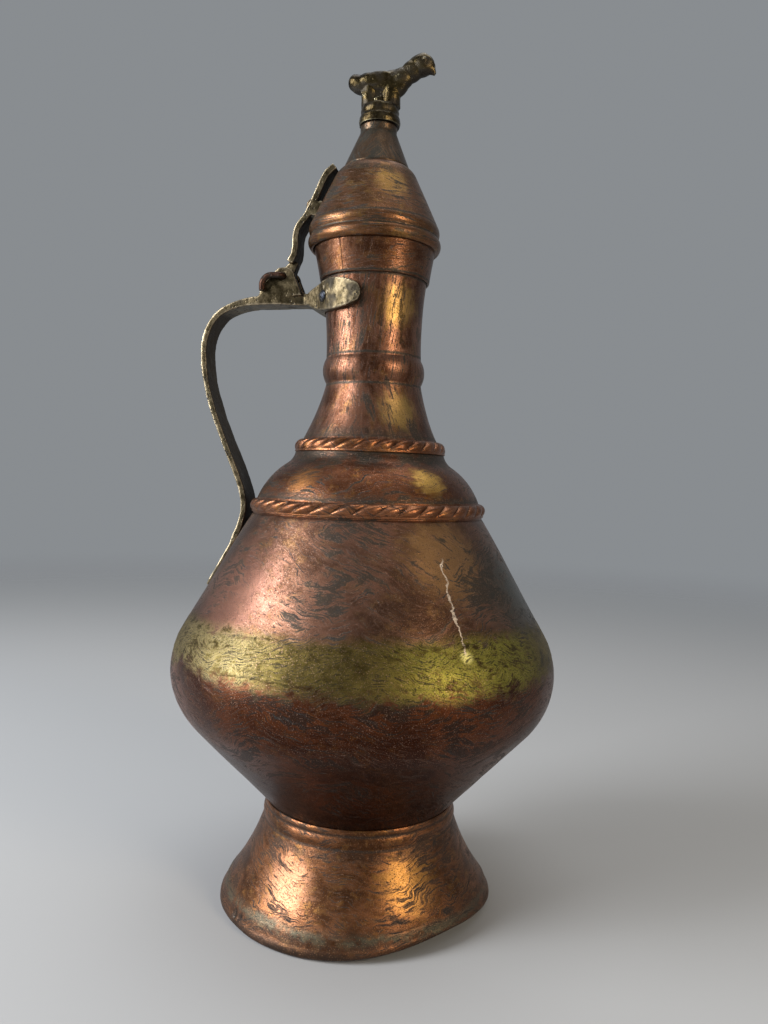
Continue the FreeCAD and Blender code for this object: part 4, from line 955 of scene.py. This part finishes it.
# The bird: the part's own bird with eggs, stubby legs and a turned collar laid over it, all run
# together by a fine voxel remesh, then softened. An egg is a sphere scaled along its own axes and
# tipped up by its tilt; a horn is a tapered round bar.
birdShape = {
    "eggs": [
        ((17.0, 0, 345.0), (5.1, 3.9, 4.6), 8), ((8.2, 0, 339.6), (6.0, 4.1, 4.6), 34),
        ((12.8, 0, 342.8), (5.0, 3.6, 4.4), 34), ((-4.6, 0, 338.6), (6.4, 4.0, 4.4), 0),
        ((-10.6, 0, 339.3), (3.0, 2.8, 3.5), -12), ((-1.5, 2.9, 339.2), (7.0, 1.6, 3.2), 6),
        ((-1.5, -2.9, 339.2), (7.0, 1.6, 3.2), 6), ((18.2, 3.5, 346.2), (0.8, 0.7, 0.8), 0),
        ((18.2, -3.5, 346.2), (0.8, 0.7, 0.8), 0),
    ],
    "horns": [
        ((19.6, 0, 344.8), (22.3, 0, 341.3), 2.7, 0.75), ((-4.6, 0, 337), (-4.2, 0, 328.2), 3.6, 3.7),
        ((4.4, 0, 337), (4.6, 0, 328.2), 3.8, 3.9), ((-0.4, 2.2, 332.0), (0.2, 2.0, 328.2), 1.8, 2.2),
        ((-0.4, -2.2, 332.0), (0.2, -2.0, 328.2), 1.8, 2.2), ((-4.4, 0, 329.3), (5.0, 0, 329.3), 3.0, 3.0),
    ],
    "collar": [
        (0, 317.5), (2.2, 317.5, 0.3), (3.3, 318.7), (2.0, 318.8), (2.0, 320.7), (8.1, 320.75, 0.3),
        (8.35, 323.4, -0.1), (7.3, 325.6, 0.28), (7.5, 328.3, 0.2), (5.4, 329.4), (0, 329.4),
    ],
    "around": 40, "voxel": 0.27, "rounds": 3, "base": "bird_finial",
}


def buildBird(look):
    turn = np.linspace(0, 2 * math.pi, look["around"], endpoint=False)
    lift = np.linspace(-math.pi / 2, math.pi / 2, 21)
    shells = []
    for centre, radii, tilt in look["eggs"]:
        unit = np.stack([np.cos(lift)[:, None] * np.cos(turn), np.cos(lift)[:, None] * np.sin(turn),
                         np.sin(lift)[:, None] + 0 * turn], axis=-1) * radii
        tip = math.radians(tilt)
        tipped = np.stack([unit[..., 0] * math.cos(tip) - unit[..., 2] * math.sin(tip), unit[..., 1],
                           unit[..., 0] * math.sin(tip) + unit[..., 2] * math.cos(tip)], axis=-1)
        shells.append(tipped + centre)
    for start, end, first, last in look["horns"]:
        start, end = np.array(start), np.array(end)
        along = (end - start) / np.linalg.norm(end - start)
        side = np.cross(along, [0, 1, 0])
        side /= np.linalg.norm(side)
        other = np.cross(along, side)
        ring = np.cos(turn)[:, None] * side + np.sin(turn)[:, None] * other
        stops = [(0, 0), (0, 1), (0.5, 1), (1, 1), (1, 0)]
        shells.append(np.array([start + (end - start) * part + ring * (first + (last - first) * part) * wide
                                for part, wide in stops]))
    shells.append(spun(respaced(arcLine(look["collar"]), 0.3), turn))
    start = 0
    points, faces = [], []
    for shell in shells:
        points.append(shell.reshape(-1, 3))
        faces.append(gridFaces(len(shell), look["around"], False) + start)
        start += len(points[-1])
    blank = makePiece("bird_blank", np.vstack(points), np.vstack(faces))
    shape = bmesh.new()
    shape.from_mesh(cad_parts[look["base"]].data)
    bmesh.ops.remove_doubles(shape, verts=shape.verts, dist=2e-6)
    shape.from_mesh(blank.data)
    shape.to_mesh(blank.data)
    shape.free()
    return blank


def birdSkin(points):
    return cloudNoise(points, 3.2, 61) * 0.14 + cloudNoise(points, 1.3, 62) * 0.06 - 0.05


birdBlank = buildBird(birdShape)
birdCast = dict(birdShape, rough=birdSkin)
castPiece("bird_finial_cast", birdCast, "lid", "bird_finial", birdBrass, birdBlank)
print("castings")

buildRimWire(rimWire, pinIron)
kept = {"foot_solder_ring": solderGrey, "lid_sleeve": lidCopper, "finial_washer": rivetBrass}
for node, material in kept.items():
    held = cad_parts[node]
    held.data.materials.clear()
    held.data.materials.append(material)


# Camera, lamps, floor

modelTurn = math.radians(10)
cameraLook = {
    "place": (0.0604, -0.3427, 0.1762), "pitch": 2.34, "yaw": 1.13, "roll": 1.80,
    "lens": 29.09, "sensor": 36.0,
}


def buildCamera(look):
    pitch, yaw, roll = (math.radians(look[key]) for key in ("pitch", "yaw", "roll"))
    forward = np.array([math.sin(yaw) * math.cos(pitch), math.cos(yaw) * math.cos(pitch), -math.sin(pitch)])
    right = np.array([math.cos(yaw), -math.sin(yaw), 0])
    above = np.array([math.sin(yaw) * math.sin(pitch), math.cos(yaw) * math.sin(pitch), math.cos(pitch)])
    rolledRight = math.cos(roll) * right + math.sin(roll) * above
    rolledAbove = -math.sin(roll) * right + math.cos(roll) * above
    facing = np.stack([rolledRight, rolledAbove, -forward], axis=1)
    lens = bpy.data.cameras.new("camera")
    lens.lens = look["lens"]
    lens.sensor_width = look["sensor"]
    lens.clip_start = 0.01
    camera = bpy.data.objects.new("camera", lens)
    turned = Matrix.Rotation(modelTurn, 4, "Z") @ Matrix(facing.tolist()).to_4x4()
    camera.matrix_world = Matrix.Translation(look["place"]) @ turned
    bpy.context.scene.collection.objects.link(camera)
    bpy.context.scene.camera = camera


def areaLamp(name, look):
    lamp = bpy.data.lights.new(name, "AREA")
    lamp.shape = "RECTANGLE"
    lamp.size, lamp.size_y = look["size"]
    lamp.energy = look["power"]
    lamp.color = look["tint"]
    holder = bpy.data.objects.new(name, lamp)
    place = Matrix.Rotation(modelTurn, 3, "Z") @ Vector(look["place"])
    aim = place - Vector(lampAim)
    holder.matrix_world = Matrix.Translation(place) @ aim.to_track_quat("Z", "Y").to_matrix().to_4x4()
    bpy.context.scene.collection.objects.link(holder)


lampAim = (0, 0, 0.17)
lampLooks = {
    "window": {
        "place": (-0.92, -0.32, 0.52), "size": (0.5, 0.72), "power": 18.0, "tint": (0.93, 0.96, 1.0),
    },
    "room lamp": {
        "place": (0.62, -0.62, 0.42), "size": (0.2, 0.4), "power": 3.6, "tint": (1.0, 0.84, 0.62),
    },
    "overhead": {"place": (0.1, 0.1, 1.2), "size": (0.8, 0.8), "power": 4.0, "tint": (1.0, 1.0, 1.0)},
}
buildCamera(cameraLook)
for lampName, lampLook in lampLooks.items():
    areaLamp(lampName, lampLook)

# A plain pale floor that fades out well away from the jug
floorLook = {
    "reach": 6.0, "tone": (0.42, 0.42, 0.42, 1.0), "roughness": 0.7, "fadeFrom": 0.45, "fadeTo": 1.6,
}
reach = floorLook["reach"]
floorCorners = [(-reach, -reach, 0), (reach, -reach, 0), (reach, reach, 0), (-reach, reach, 0)]
floorMesh = bpy.data.meshes.new("floor")
floorMesh.from_pydata(floorCorners, [], [(0, 1, 2, 3)])
floorFinish = Finish("pale floor")
away = floorFinish.node("ShaderNodeVectorMath", {"operation": "LENGTH"}, {0: floorFinish.place}, 1)
clear = floorFinish.node("ShaderNodeBsdfTransparent", {}, {})
plainSockets = {"Base Color": floorLook["tone"], "Roughness": floorLook["roughness"]}
plain = floorFinish.node("ShaderNodeBsdfPrincipled", {}, plainSockets)
fade = away.step(floorLook["fadeFrom"], floorLook["fadeTo"])
faded = floorFinish.node("ShaderNodeMixShader", {}, {0: fade, 1: plain, 2: clear})
floorFinish.node("ShaderNodeOutputMaterial", {}, {"Surface": faded})
floorMesh.materials.append(floorFinish.material)
floor = bpy.data.objects.new("floor", floorMesh)
bpy.context.scene.collection.objects.link(floor)

world = bpy.data.worlds.new("room")
world.use_nodes = True
world.node_tree.nodes["Background"].inputs["Color"].default_value = (0.25, 0.265, 0.28, 1.0)
world.node_tree.nodes["Background"].inputs["Strength"].default_value = 1.0
bpy.context.scene.world = world
bpy.context.scene.view_settings.view_transform = "Standard"
print("camera and lamps")
